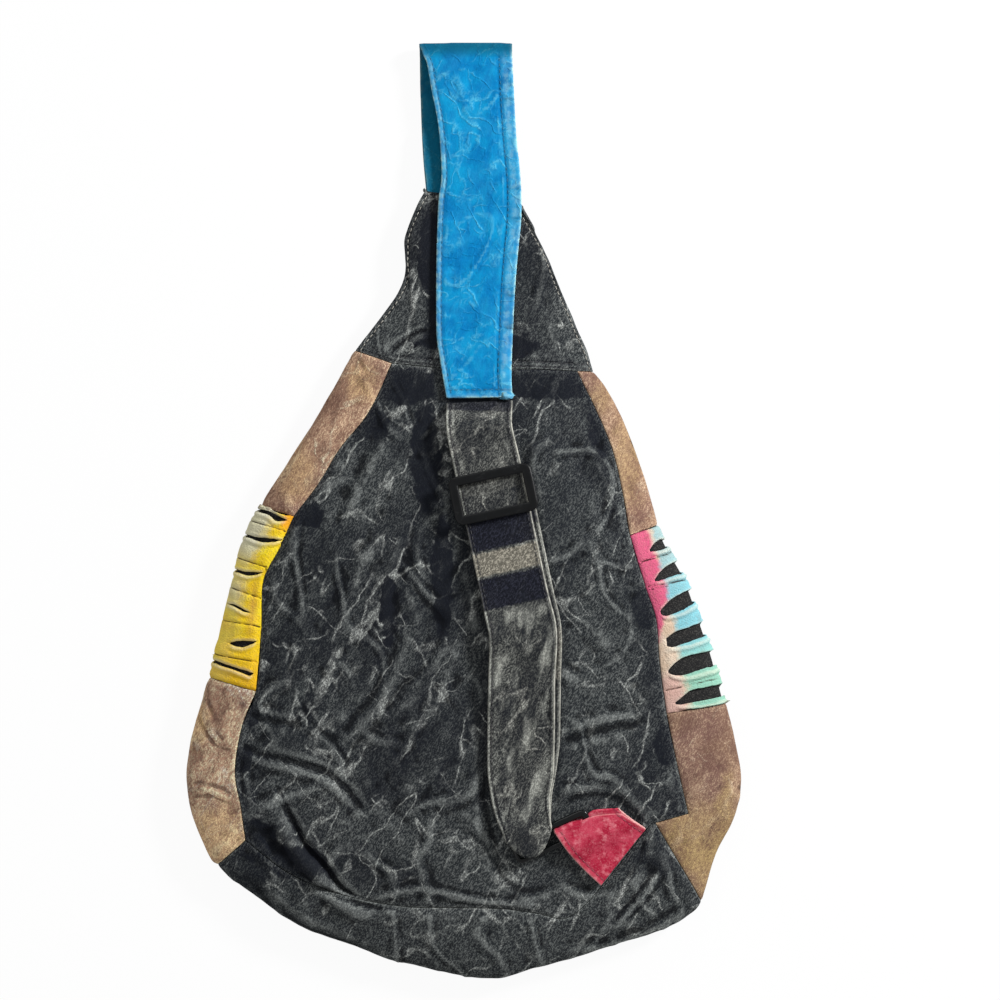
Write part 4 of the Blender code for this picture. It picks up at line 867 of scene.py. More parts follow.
def webbingCotton(name, blocks):
    # the webbing's UV map is metres across and along; blocks are unwashed or pale lengths in mm
    finish, colour, speck, veins = washedCotton(
        name, {"deep": (0.008, 0.0095, 0.014), "body": (0.045, 0.047, 0.045),
               "worn": (0.40, 0.41, 0.37), "vein": (0.60, 0.60, 0.54), "washed": 0.85,
               "lines": 0.6})
    along = finish.part(finish.cloth, 1)
    edge = finish.noise(3, 2.0) * 2.5 * mm
    for low, high, paint, amount in blocks:
        inside = (along + edge).step(low * mm, (low + 1.5) * mm) \
            * (1 - (along + edge).step((high - 1.5) * mm, high * mm))
        shade = finish.mix(speck * 0.75, tuple(c * 0.6 for c in paint),
                           tuple(min(c * 2.3, 1) for c in paint))
        colour = finish.mix(inside * amount, colour, shade)
    streak = finish.noise(11, 2.0, 0.5, finish.turned(80, 3.6)).step(0.52, 0.66)
    colour = finish.mix(streak * (0.34 + speck * 0.50) * along.step(0.126, 0.132), colour,
                        (0.46, 0.47, 0.42))
    shade = finish.noise(12, 2.0, 0.5, finish.turned(86, 3.6)).step(0.55, 0.66)
    colour = finish.mix(shade * 0.45, colour, (0.010, 0.012, 0.017))
    # pale worn edges; the right edge is four times as strong as the left, a painted highlight on
    # the side towards the key light
    rim = finish.field("rim") * (0.45 + finish.noise(3.5, 2.0).step(0.35, 0.6) * 0.55)
    colour = finish.mix(rim.clamp() * 0.8, colour, (0.50, 0.49, 0.43))
    # painted shade: the stitched grooves darkened
    colour = finish.mix(finish.field("grooveAndShade") * 0.6, colour, (0.006, 0.007, 0.010))
    return closeCotton(finish, colour, speck, veins, 0.22)


def redCotton():
    finish = Finish("red_tab", Roughness=0.95, Specular_IOR_Level=0.10)
    weave = finish.noise(0.85, 1.0, 0.6)
    cloud = finish.noise(8, 3.0, 0.65, finish.warped(3, 8))
    colour = finish.mix(cloud.step(0.36, 0.66), (0.38, 0.012, 0.040), (0.56, 0.060, 0.105))
    colour = finish.mix(finish.noise(4.5, 3.0, 0.6).step(0.50, 0.70) * (0.25 + weave * 0.7),
                        colour, (0.72, 0.22, 0.26))
    colour = finish.mix(weave.step(0.5, 0.75) * 0.18, colour, (0.75, 0.35, 0.38))
    rim = finish.field("rim")
    colour = finish.mix(rim * (0.35 + weave * 0.5), colour, (0.80, 0.55, 0.50))
    # painted shade: the stitched grooves darkened
    colour = finish.mix(finish.field("grooveAndShade") * 0.6, colour, (0.13, 0.01, 0.03))
    finish.feed("Base Color", colour)
    finish.bump(weave * 0.6 + cloud, 0.25)
    return finish.material


def plastic(name, roughness, coat, scratches):
    finish = Finish(name, Roughness=roughness, Coat_Weight=coat, Coat_Roughness=0.15,
                    Specular_IOR_Level=0.2)
    haze = finish.noise(6, 3.0)
    marks = finish.strokes(5, 0.10, 30, 4.0) * finish.noise(5, 1.0).step(0.5, 0.62)
    dust = finish.noise(0.7, 2.0).step(0.60, 0.75)
    finish.feed("Base Color", finish.mix((haze * 0.3 + marks * scratches + dust * 0.15).clamp(),
                                         (0.0020, 0.0024, 0.0028), (0.013, 0.014, 0.015)))
    finish.feed("Roughness", haze * 0.10 + marks * 0.2 + roughness)
    finish.bump(haze + marks * -0.6, 0.04)
    return finish.material


def threadFinish(name, colour):
    finish = Finish(name, Roughness=0.8)
    ply = finish.noise(0.5, 1.0)
    finish.feed("Base Color", finish.mix(ply.step(0.35, 0.65) * 0.5 + finish.noise(9, 2.0) * 0.3,
                                         colour, tuple(c * 0.35 for c in colour)))
    finish.bump(ply, 0.08)
    return finish.material


def metalFinish():
    finish = Finish("zipper_brass", Metallic=1.0, Roughness=0.35)
    cloud = finish.noise(1.5, 3.0)
    finish.feed("Base Color", finish.mix(cloud, (0.42, 0.36, 0.24), (0.60, 0.54, 0.42)))
    finish.feed("Roughness", cloud * 0.25 + 0.22)
    finish.bump(cloud, 0.02)
    return finish.material


def tapeFinish():
    finish = Finish("zipper_tape", Roughness=0.9)
    ribs = finish.part(finish.place, 0) * (2 * math.pi / (1.1 * mm))
    ribs = ribs.math("SINE") * 0.5 + 0.5
    speck = finish.noise(0.6, 1.0)
    finish.feed("Base Color",
                finish.mix(ribs * 0.3 + speck * 0.3, (0.008, 0.008, 0.011), (0.05, 0.05, 0.055)))
    finish.bump(ribs + speck, 0.08)
    return finish.material


def toothFinish():
    finish = Finish("zipper_teeth", Roughness=0.4)
    speck = finish.noise(0.8, 2.0)
    finish.feed("Base Color", finish.mix(speck, (0.018, 0.018, 0.022), (0.07, 0.07, 0.075)))
    finish.bump(speck, 0.03)
    return finish.material


paleThread = threadFinish("pale_thread", (0.50, 0.48, 0.42))
darkThread = threadFinish("dark_thread", (0.055, 0.055, 0.06))
blueThread = threadFinish("blue_thread", (0.02, 0.20, 0.36))
rustThread = threadFinish("rust_thread", (0.42, 0.20, 0.12))
redThread = threadFinish("red_thread", (0.42, 0.10, 0.12))
print("materials done")


# panels

panelStep = 1.7 * mm   # between neighbouring grid points of a panel


def gussetSkin(backPoints, upper, lower, extra=None):
    # skin places between two cross seams, from the back seam round the side to the front seam
    curve = smoothCurve(inMetres(backPoints))
    if extra is not None:
        curve = np.vstack([curve, inMetres([extra])])
    v = seamShares(runLength(curve)[-1], panelStep)
    wide = min(runLength(fromSkin(upper))[-1], runLength(fromSkin(lower))[-1])
    u = seamShares(wide, panelStep)
    back = toSkin(atShares(curve, v), 1)
    up, low = skinAtShares(upper, u), skinAtShares(lower, u)
    front = np.stack([up[-1, 0] + (low[-1, 0] - up[-1, 0]) * v, np.full(len(v), frontLatitude)],
                     axis=1)
    return coons(up, low, back, front, u, v), u, v


hemLeft, hemRight = [crossSeam(bag["hem"][k], bag[name][k]) for k, name in
                     ((0, "leftEdge"), (-1, "rightEdge"))]
cutLeft = [crossSeam(bag["leftInsert"][k], bag["leftCuts"][k]) for k in (0, -1)]
cutRight = [crossSeam(bag["rightInsert"][k], bag["rightCuts"][k]) for k in (0, -1)]
lowLeft = crossSeam(bag["bottomSeam"][0], bag["bottomEdge"][0])
lowRight = crossSeam(bag["rightFoldEnd"], bag["bottomEdge"][-1])

threadRows = {"pale": [], "dark": []}

for name, points, upper, lower, extra, material in (
        ("left_gusset_upper", bag["leftUpper"], hemLeft, cutLeft[0], None, leftUpperBrown),
        ("left_gusset_lower", bag["leftLower"], cutLeft[1], lowLeft, None, leftLowerBrown),
        ("right_gusset_upper", bag["rightUpper"], hemRight, cutRight[0], None, rightUpperBrown),
        ("right_gusset_lower", bag["rightLower"], cutRight[1], lowRight, bag["rightFoldEnd"],
         rightLowerBrown)):
    skin, u, v = gussetSkin(points, upper, lower, extra)
    flip = name.startswith("left")
    grid, fields = dress(fromSkin(skin), flip, amount=0.75)
    piece = gridPiece(name + "_cloth", grid, flip, fields, thickness=bag["cloth"])
    dressed(piece, material, nodes=[name])
print("gussets done")

# bottom panel, and the front seam lines that the front panel meets
seamCurve = smoothCurve(inMetres(bag["bottomSeam"]))
bottomU = seamShares(0.075, panelStep)
bottomV = seamShares(runLength(seamCurve)[-1], panelStep)
bottomBack = toSkin(atShares(seamCurve, bottomV), 1)
up, low = skinAtShares(lowLeft, bottomU), skinAtShares(lowRight, bottomU)
bottomFront = np.stack([up[-1, 0] + (low[-1, 0] - up[-1, 0]) * bottomV,
                        np.full(len(bottomV), frontLatitude)], axis=1)
bottomSkin = coons(up, low, bottomBack, bottomFront, bottomU, bottomV)
grid, fields = dress(fromSkin(bottomSkin), True, amount=0.9)
dressed(gridPiece("bottom_panel_cloth", grid, True, fields, thickness=bag["cloth"]),
        backCotton, nodes=["bottom_panel"])

# back panel
leftSeam = smoothCurve(inMetres(bag["leftUpper"] + bag["leftInsert"][1:] + bag["leftLower"][1:]))
rightSeam = smoothCurve(inMetres(bag["rightUpper"] + bag["rightInsert"][1:]
                                 + bag["rightLower"][1:]))
hemCurve = smoothCurve(inMetres(bag["hem"]))
lowCurve = np.vstack([seamCurve, inMetres(bag["rightLower"][-1:])])
u = seamShares(0.250, panelStep)
v = seamShares(0.310, panelStep)
backPlan = coons(atShares(hemCurve, u), atShares(lowCurve, u), atShares(leftSeam, v),
                 atShares(rightSeam, v), u, v)
grid, fields = dress(lifted(backPlan, 1), False)
dressed(gridPiece("back_panel_cloth", grid, False, fields, thickness=bag["cloth"]),
        backCotton, nodes=["back_panel"])
print("back and bottom done")

# yokes: back and front meet at the side edges
yokeU = 0.5 - 0.5 * np.cos(np.linspace(0, math.pi, 90))
yokeV = seamShares(0.105, 1.5 * mm)
yokeLeftCurve, yokeRightCurve = [smoothCurve(inMetres(bag[name]))
                                 for name in ("yokeLeft", "yokeRight")]
tipCurve = smoothCurve(inMetres(bag["yokeTip"]))[::-1]


def firstHalf(line, side):  # plan line of a cross seam from its outer edge inwards
    points = fromSkin(line)
    middle = len(points) // 2
    return (points[:middle + 1][::-1] if side > 0 else points[middle:])[:, :2]


frontHemCurve = np.stack([fromSkin(hemLeft)[-1, :2], fromSkin(hemRight)[-1, :2]])
for name, side, middle in (("back_yoke", 1, hemCurve), ("front_yoke", -1, frontHemCurve)):
    lowLine = np.vstack([firstHalf(hemLeft, side), middle[1:-1], firstHalf(hemRight, side)[::-1]])
    plan = coons(atShares(tipCurve, yokeU), atShares(lowLine, yokeU),
                 atShares(yokeLeftCurve, yokeV), atShares(yokeRightCurve[::-1], yokeV), yokeU,
                 yokeV)
    base = lifted(plan, side)
    base[:, 0, 2], base[:, -1, 2] = edgeHeight(plan[:, 0, 1]), edgeHeight(plan[:, -1, 1])
    base[0, :, 2] = edgeHeight(plan[0, :, 1])
    grooves = [("bottom", 1.6), ("bottom", 4.6), ("left", 3.6), ("right", 3.2)] if side > 0 else []
    grid, fields = dress(base, side < 0, grooves, 0.8, side > 0)
    piece = gridPiece(name + "_cloth", grid, side < 0, fields, thickness=bag["cloth"])
    dressed(piece, yokeCotton if side > 0 else frontCotton, nodes=[name])
    if side > 0:
        threadRows["dark"] += [rowOn(grid, False, "bottom", 1.6, 0.05, 0.95),
                               rowOn(grid, False, "bottom", 4.6, 0.05, 0.95)]
        threadRows["pale"] += [rowOn(grid, False, "left", 3.6), rowOn(grid, False, "right", 3.2)]

stitches("yoke_pale_stitches", threadRows["pale"], paleThread)
stitches("yoke_dark_stitches", threadRows["dark"], darkThread)
print("yokes done")


# slashed inserts
# the upper and the lower lip of each slash in the top view, inner tip last; the outer end is
# carried round the side by the share of the panel's width given with each side
slashes = {
    "left": {"past": 0.07, "puff": 0.9, "roll": 0.45, "lips": [
        ([(258, 506), (262, 504.5), (270, 506), (275, 514), (287, 520.7)],
         [(257, 511.6), (268.6, 514.8), (279.8, 522.8), (287, 520.7)]),
        ([(246.8, 534), (256, 536), (268.6, 537.8), (283.3, 540.4)],
         [(246.8, 536.8), (257.4, 539.6), (265.8, 542.5), (274.2, 541.8), (283.3, 540.4)]),
        ([(235, 569), (244.7, 571.2), (253.2, 571.2), (263.7, 572.4)],
         [(235, 571.2), (244, 573.3), (247.5, 576), (254.6, 575.4), (263.7, 572.4)]),
        ([(227.2, 602.6), (237.7, 604.8), (246, 609.4), (251.8, 611)],
         [(227.2, 604.6), (236.3, 606.7), (246, 611.8), (251.8, 611)]),
        ([(230, 643.8), (239, 641.2), (249, 639), (258, 640.2)],
         [(230, 643.8), (243.3, 646.8), (250.3, 644), (258, 640.2)]),
        ([(214, 661), (230.7, 665), (246, 668.4), (255.3, 670.5)],
         [(214, 663.6), (230.7, 669), (244.7, 672), (250.4, 675.8), (255.3, 670.5)])],
        "tucks": [((252.5, 522), (290.4, 534)), ((239, 559.7), (272.8, 569)),
                  ((232, 588), (260.9, 596.5)), ((225, 620), (254.6, 625.3)),
                  ((218, 654.7), (258.8, 662.5))]},
    "right": {"past": 0.20, "puff": 0.5, "roll": 0.62, "lips": [
        ([(668, 539), (658.8, 540.3), (651, 545), (647.6, 550.8)],
         [(670, 547), (658, 550.5), (647.6, 550.8)]),
        ([(677, 560.6), (664.8, 567.3), (657.4, 573.2), (652.9, 580.2)],
         [(681, 574.2), (668, 578.6), (657, 581.6), (652.9, 580.2)]),
        ([(691, 589.6), (676.8, 595.7), (663.3, 603), (658, 611.4)],
         [(694, 605.6), (679.8, 612), (663, 616.4), (658, 611.4)]),
        ([(703, 623), (680, 630), (666.5, 633.5), (664, 640)],
         [(707, 637), (685.8, 645.7), (666.5, 648.5), (664, 640)]),
        ([(711, 652), (687.3, 657), (673.8, 661.4), (666.3, 671.5)],
         [(717, 668), (700, 672.5), (680, 675.8), (666.3, 671.5)]),
        ([(722, 685.6), (703.7, 689), (685.8, 692), (674.6, 701)],
         [(725, 699.4), (703.7, 704), (682, 705), (674.6, 701)])],
        "tucks": [((662, 557), (638, 560.5)), ((687, 580.5), (641, 588.5)),
                  ((664, 690.5), (640, 693))]},
}
lipLines = (0.4, 0.9, 1.5, 2.2, 3.0, 3.9)
tuckLines = (0.35, 0.8)


def sampled(values, uFine, vFine, u, v):
    # bilinear reading of a fine grid at given places
    i = np.interp(v, vFine, np.arange(len(vFine)))
    j = np.interp(u, uFine, np.arange(len(uFine)))
    a, b = np.clip(i.astype(int), 0, len(vFine) - 2), np.clip(j.astype(int), 0, len(uFine) - 2)
    s, t = (i - a)[..., None], (j - b)[..., None]
    return ((values[a, b] * (1 - t) + values[a, b + 1] * t) * (1 - s)
            + (values[a + 1, b] * (1 - t) + values[a + 1, b + 1] * t) * s)


def slashedInsert(side, points, cuts, material):
    skin, u, vFine = gussetSkin(points, *cuts)
    space = fromSkin(skin)
    flip = side == "left"
    look = slashes[side]
    tall = runLength(space[:, len(u) // 3])[-1]
    onTop = skin[..., 1] >= 0

    def placesOf(line):  # columns and rows of view points, outer end first
        found = []
        for tip in line:
            away = np.linalg.norm(space[..., :2] - fromView(tip), axis=2) + (~onTop) * 1.0
            i, j = np.unravel_index(np.argmin(away), away.shape)
            found.append((u[j], vFine[i]))
        return np.array(found)

    features = []
    for number, (upper, lower) in enumerate(look["lips"]):
        up, low = placesOf(upper), placesOf(lower)
        inner, outer = up[-1, 0], max(up[0, 0], low[0, 0])
        openOut = abs(up[0, 1] - low[0, 1]) * tall > 0.8 * mm
        last = outer + (look["past"] if openOut else 0.0)
        lines = [np.convolve(np.pad(np.interp(u, part[::-1, 0], part[::-1, 1]), 2, "edge"),
                             (0.1, 0.22, 0.36, 0.22, 0.1), "valid") for part in (up, low)]
        ragged = [softNoise(np.stack([u * 45, np.full(len(u), number * 3.7 + k), u * 0], axis=1),
                            1.0, 31)
                  * 0.28 * mm / tall for k in range(2)]
        middle = (lines[0] + lines[1]) / 2
        half = (lines[1] - lines[0]) / 2
        half = half * np.sqrt(np.clip(1 - (np.clip(u - outer, 0, None)
                                           / max(last - outer, 1e-4)) ** 2, 0, 1))
        half = np.maximum(half, 0.08 * mm / tall)
        inside = easeStep(inner - 0.01, inner + 0.03,
                          u) * (1 - easeStep(last - 0.03, last + 0.01, u))
        features.append((middle - half + ragged[0] * inside, middle + half + ragged[1] * inside,
                         inside, (inner, last)))
    for outer, inner in look["tucks"]:
        ends = placesOf((outer, inner))
        middle = np.interp(u, [ends[1, 0], ends[0, 0]], [ends[1, 1], ends[0, 1]])
        thin = 0.06 * mm / tall
        features.append((middle - thin, middle + thin,
                         easeStep(0, 0.04, u) * (1 - easeStep(0.55, 0.7, u)), None))
    features.sort(key=lambda feature: feature[0].mean())

    lines, cutRows = [np.zeros(len(u))], []
    for upper, lower, inside, span in features:
        offsets = np.array(lipLines if span else tuckLines) * mm / tall
        room = np.maximum(upper - offsets[-1] - lines[-1], 1e-4)
        count = int(np.median(room) * tall / (1.8 * mm))
        lines += [lines[-1] + room * (k + 1) / (count + 1) for k in range(count)]
        lines += [upper - d for d in offsets[::-1]] + [upper, lower]
        if span:
            cutRows.append((len(lines) - 2, span))
        lines += [lower + d for d in offsets]
    room = 1 - lines[-1]
    count = max(int(np.median(room) * tall / (1.8 * mm)), 2)
    lines += [lines[-1] + room * (k + 1) / (count + 1) for k in range(count + 1)]
    v = np.maximum.accumulate(np.array(lines), axis=0) + np.arange(len(lines))[:, None] * 2e-5
    v = (v - v[:1]) / (v[-1:] - v[:1])
    uGrid = np.tile(u, (len(v), 1))
    base = fromSkin(sampled(skin, u, vFine, uGrid, v))
    keep = np.ones((len(v) - 1, len(u) - 1), bool)
    middle = (u[:-1] + u[1:]) / 2
    for row, (inner, last) in cutRows:
        keep[row] = ~((middle > inner) & (middle < last))
    lip, bulge, tuckShade = np.zeros(v.shape), np.zeros(v.shape), np.zeros(v.shape)
    seamless = easeStep(0.0, 0.10, uGrid) * easeStep(0.0, 0.12, 1 - uGrid)
    previous = np.zeros(len(u))
    for upper, lower, inside, span in features:
        if not span:
            dent = bell((v - (upper + lower)[None] / 2) * tall / mm, 0.5) * inside
            bulge -= dent * 0.9
            tuckShade = np.maximum(tuckShade, dent)
            continue
        below, above = (v - lower[None]) * tall / mm, (upper[None] - v) * tall / mm
        roll = look["roll"]
        bulge += (bell(below - 1.5, 1.1) * 1.5 - bell(below - 3.7, 0.8)
                  * 0.9) * (below > -0.01) * inside * roll
        bulge += bell(above - 1.2, 1.0) * 1.1 * (above > -0.01) * inside * roll
        lip = np.maximum(lip, bell(below - 1.0, 1.5 * roll + 0.3) * (below > -0.01) * inside)
        lip = np.maximum(lip, bell(above - 0.5, 1.1 * roll + 0.3) * (above > -0.01) * inside)
        strip = np.clip((v - previous[None]) / np.maximum(upper - previous, 1e-4)[None], 0, 1)
        bulge += np.sin(math.pi * strip) * look["puff"] * seamless * inside
        previous = lower
    bulge += 0.5 * seamless
    normals = gridNormals(base, flip)
    base = base + normals * (bulge * mm)[..., None]
    grid, fields = dress(base, flip, amount=0.35, withFolds=False)
    fields["lip"], fields["tuckShade"] = lip, tuckShade
    uv = np.stack([uGrid, v], axis=-1)
    piece = gridPiece(side + "_slashed_insert_cloth", grid, flip, fields, keep, uv, thickness=0.9)
    dressed(piece, material, nodes=[side + "_slashed_insert"])
    away = 0.8 * mm - seamRelief(edgeRuns(space), ("top", "bottom", "left", "right"), 1.2, 5.0) \
        - softNoise(space, 0.012, 41) * 0.25 * mm
    inner = space - gridNormals(space, flip) * away[..., None]
    inner[..., 2] = np.maximum(inner[..., 2], 1.5 * mm)
    lining = gridPiece(side + "_insert_lining", inner[::2, ::2], flip, thickness=0.8)
    dressed(lining, liningCloth, nodes=[side + "_insert_backing"])


slashedInsert("left", bag["leftInsert"], cutLeft, yellowCotton)
slashedInsert("right", bag["rightInsert"], cutRight, pinkCotton)
print("inserts done")

# front panel with its zipper opening
zipper = {"y": 32.0, "length": 140.0, "slot": 10.0, "tapeWidth": 8.0, "root": 2.2, "tape": 0.8,
          "low": 6.2 + 1.4 + 0.3}

frontSides = {}
for side, seams in (("left", (hemLeft, *cutLeft, lowLeft)),
                    ("right", (hemRight, *cutRight, lowRight))):
    runs = [np.stack([np.linspace(a[-1, 0], b[-1, 0], 20), np.full(20, frontLatitude)], axis=1)
            for a, b in zip(seams, seams[1:])]
    frontSides[side] = fromSkin(np.vstack([runs[0]] + [run[1:] for run in runs[1:]]))[:, :2]
lowFront = fromSkin(bottomFront)[:, :2]
frontStep = 2.6 * mm
u, v = seamShares(0.25, frontStep), seamShares(0.30, frontStep)
frontPlan = coons(atShares(frontHemCurve, u), atShares(lowFront, u),
                  atShares(frontSides["left"], v),
                  atShares(frontSides["right"], v), u, v)
grid, fields = dress(lifted(frontPlan, -1), True, amount=0.5, withFolds=False)
nearSlot = 1 - easeStep(0.008, 0.02, np.abs(grid[..., 1] - zipper["y"] * mm))
grid[..., 2] = grid[..., 2] * (1 - nearSlot) + np.maximum(lifted(frontPlan, -1)[..., 2],
                                                          0) * nearSlot
front = gridPiece("front_panel_cloth", grid, True, fields, thickness=bag["cloth"])
bpy.ops.mesh.primitive_cube_add(size=1)
cutter = bpy.context.object
cutter.name = "zipper_opening"
cutter.scale = ((zipper["length"] + 2) * mm, zipper["slot"] * mm, 8 * mm)
cutter.location = (0, zipper["y"] * mm, 6.9 * mm)
bpy.context.view_layer.update()
opening = front.modifiers.new("opening", "BOOLEAN")
opening.object = cutter
opening.solver = "EXACT"
opening.operation = "DIFFERENCE"
bpy.context.view_layer.update()
cut = bpy.data.meshes.new_from_object(front.evaluated_get(bpy.context.evaluated_depsgraph_get()))
front.modifiers.clear()
front.data = cut
bpy.data.objects.remove(cutter, do_unlink=True)
dressed(front, frontCotton, nodes=["front_panel"])
slotRows = []
for sign in (-1, 1):
    xs = np.linspace(-zipper["length"] / 2, zipper["length"] / 2, 60) * mm
    row = np.stack([xs, np.full(60, (zipper["y"] + sign * (zipper["slot"] / 2 + 1.6)) * mm),
                    np.full(60, bag["neckLift"] * mm)], axis=1)
    slotRows.append((row, np.tile([0.0, 0.0, -1.0], (60, 1))))
stitches("zipper_stitches", slotRows, paleThread)

tapeMaterial, metal, teeth = tapeFinish(), metalFinish(), toothFinish()
for name, sign in (("upper", 1), ("lower", -1)):
    # tape: a flat strip with fine ribs across and a raised cord beside the teeth
    x = np.linspace(-zipper["length"] / 2, zipper["length"] / 2, 260) * mm
    w = np.linspace(0, 1, 14)
    across = zipper["root"] + 0.3 + zipper["tapeWidth"] * w
    ribs = np.sin(x / (1.1 * mm) * 2 * math.pi)[:, None] * 0.05 + bell(w - 0.08, 0.06)[None] * 0.12
    grid = np.stack([np.tile(x[:, None], (1, 14)),
                     np.tile((zipper["y"] + sign * across) * mm, (260, 1)),
                     (zipper["low"] + 0.15 - ribs) * mm], axis=-1)
    tape = gridPiece("zipper_tape_" + name + "_cloth", grid, sign < 0,
                     thickness=zipper["tape"] - 0.2)
    dressed(tape, tapeMaterial, nodes=["zipper_tape_" + name])


def finishNode(node, material):
    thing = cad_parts[node]
    thing.data.materials.clear()
    thing.data.materials.append(material)


for node in ("zipper_teeth_upper", "zipper_teeth_lower"):
    finishNode(node, teeth)
for node in ("zipper_bottom_stop", "zipper_slider", "zipper_pull"):
    finishNode(node, metal)
print("front and zipper done")

# shoulder strap
strap = {"thick": 2.4, "neckWidth": 56.0, "endWidth": 39.0, "foldRadius": 4.5, "free": 0.4,
         "gap": 0.3,
         "under": [(5.7, 190.5), (3.6, 215.0), (2.2, 245.0), (1.5, 270.0)],
         # edges of the front layer in the top view, top to bottom
         "left": [(421, 40), (427, 66), (431, 90), (437, 120), (440, 150), (441, 180), (438, 200),
                  (436, 260), (436, 330), (438, 350), (447, 403)],
         "right": [(511, 40), (513, 80), (516, 136), (520, 176), (521, 215), (517, 258),
                   (514, 300),
                   (511, 370), (512, 398)]}


def acrossOf(path):  # unit width directions of a plan path that runs down the view
    along = np.gradient(path, axis=0)
    side = np.stack([-along[:, 1], along[:, 0]], axis=1)
    return side / np.linalg.norm(side, axis=1, keepdims=True)


def backTop(xy):
    return lifted(xy, 1)[..., 2]


def tallest(middle, across, width):  # highest back surface under a straight width
    places = middle[None] + across[None] * width * np.array([-0.5, -0.25, 0, 0.25, 0.5])[:, None]
    return backTop(places).max()


def strapLines():
    # middle layer's centre points and heights: under the strap, round the fold, over it
    s = {key: value * mm for key, value in strap.items() if isinstance(value, float)}
    under = atShares(smoothCurve(inMetres(strap["under"])), np.linspace(0, 1, 30))
    over = atShares(strapOver, np.linspace(0, 1, 150))
    tip = float(edgeHeight(under[0, 1]))
    low = s["thick"] / 2 + s["gap"]
    drop = easeStep(under[0, 1], under[-1, 1], under[:, 1])
    points = [np.append(p, tip + (low - tip) * t) for p, t in zip(under, drop)]
    fold = over[0] - np.array([0, s["foldRadius"] + s["thick"] / 2])
    for angle in np.radians(np.arange(-75, 91, 15)):
        points.append(np.array([fold[0], fold[1] + s["foldRadius"] * math.cos(angle),
                                low + s["foldRadius"] * (1 + math.sin(angle))]))
    count = len(points)
    top = low + 2 * s["foldRadius"]
    over = over[over[:, 1] < fold[1] - 2 * s["free"]]
    tipClear = tip + s["thick"] * 1.5 + s["free"]
    for xy, across in zip(over, -acrossOf(over)):
        body = tallest(xy, across,
                       s["neckWidth"] * 0.84) if xy[1] < bag["yokeTip"][1][1] * mm else 0
        z = max(body + s["free"] + s["thick"] / 2, top)
        z = max(z, top + (tipClear - top) * easeStep(fold[1], under[0, 1], xy[1]))
        points.append(np.append(xy, z))
    return np.array(points), count


def shoulderStrap():
    path, turnCount = strapLines()
    u = seamShares(0.056, 1.4 * mm, (0.0, 0.5, 1.1, 1.8, 2.6))
    leftCurve, rightCurve = [smoothCurve(fromView(strap[side])) for side in ("left", "right")]
    rows = []
    for k, point in enumerate(path):
        if k >= turnCount:
            share = (k - turnCount) / (len(path) - 1 - turnCount)
            a = leftCurve[np.argmin(np.abs(leftCurve[:, 1] - (point[1] + 0.0025 * share)))]
            b = rightCurve[np.argmin(np.abs(rightCurve[:, 1] - (point[1] - 0.0005 * share)))]
        else:
            half = strap["neckWidth"] / 2 * mm
            a, b = np.array([point[0] - half, point[1]]), np.array([point[0] + half, point[1]])
            slope = 1 - easeStep(0.0, 8.0, float(k))
            a, b = a + (0, 0.0008 * slope), b - (0, 0.0068 * slope)
        rows.append((a, b))
    left = np.array([row[0] for row in rows])
    right = np.array([row[1] for row in rows])
    for line in (left, right):
        line[3:-3, 0] = np.convolve(line[:, 0], np.ones(7) / 7, "valid")
    grid = np.empty((len(path), len(u), 3))
    grid[..., :2] = left[:, None] + (right - left)[:, None] * u[None, :, None]
    grid[..., 2] = path[:, 2:]
    v = seamShares(runLength(path)[-1], 1.6 * mm, (0.0, 0.5, 1.1, 1.8))
    run = runLength(path)
    fine = np.empty((len(v), len(u), 3))
    for axis in range(3):
        for j in range(len(u)):
            fine[:, j, axis] = np.interp(v * run[-1], run, grid[:, j, axis])
    return fine, v * run[-1], run[turnCount]


strapGrid, strapRun, turnRun = shoulderStrap()
normals = gridNormals(strapGrid, False)
runs = edgeRuns(strapGrid)
over = easeStep(turnRun - 0.004, turnRun + 0.004, strapRun)[:, None]
points = strapGrid
move = softNoise(slanted(points, 78, 2.2), 0.011, 51) * 0.45
move += bell(softNoise(slanted(points, 60, 2.5), 0.020, 52), 0.12) * 0.6
move += softNoise(points, 0.0045, 53) * 0.14
move += softNoise(points, 0.045, 54) * 0.5
edge = np.minimum(runs["left"], runs["right"])
move *= easeStep(0.0, 0.004, edge)
grooveRight = bell((runs["right"] - 8.2 * mm) / mm, 0.7)
grooveLeft = bell((runs["left"] - 3.4 * mm) / mm, 0.6)
grooveEnd = bell((runs["bottom"] - 4.8 * mm) / mm, 0.7)
rippleRight = np.sin(strapRun[:, None] / (2.9 * mm) * 2 * math.pi + softNoise(points, 0.02, 55)
                     * 3)
move += rippleRight * 0.28 * (1 - easeStep(0.004, 0.009, runs["right"])) * over
move += softNoise(points, 0.005, 56) * 0.35 * (1 - easeStep(0.002, 0.005, runs["left"]))
move -= (grooveRight * 0.7 + grooveLeft * 0.5 + grooveEnd * 0.7) * over
move = move * mm + seamRelief(runs, ("left", "right"), 0.7, 1.6)
move = np.where(over > 0.5, np.maximum(move, -0.55 * mm), np.clip(move, -0.3 * mm, 0.3 * mm))
underShade = (1 - over) * np.ones(runs["left"].shape)
grid = strapGrid + normals * (strap["thick"] / 2 * mm + move)[..., None]
rimShare = np.exp(-edge / (0.75 * mm)) + bell((runs["right"] - 4.2 * mm) / mm, 1.9) * 0.26 * over \
    + np.exp(-runs["bottom"] / (0.8 * mm)) * 0.9 + bell((runs["left"] - 2.2 * mm) / mm,
                                                        0.5) * 0.35 * over
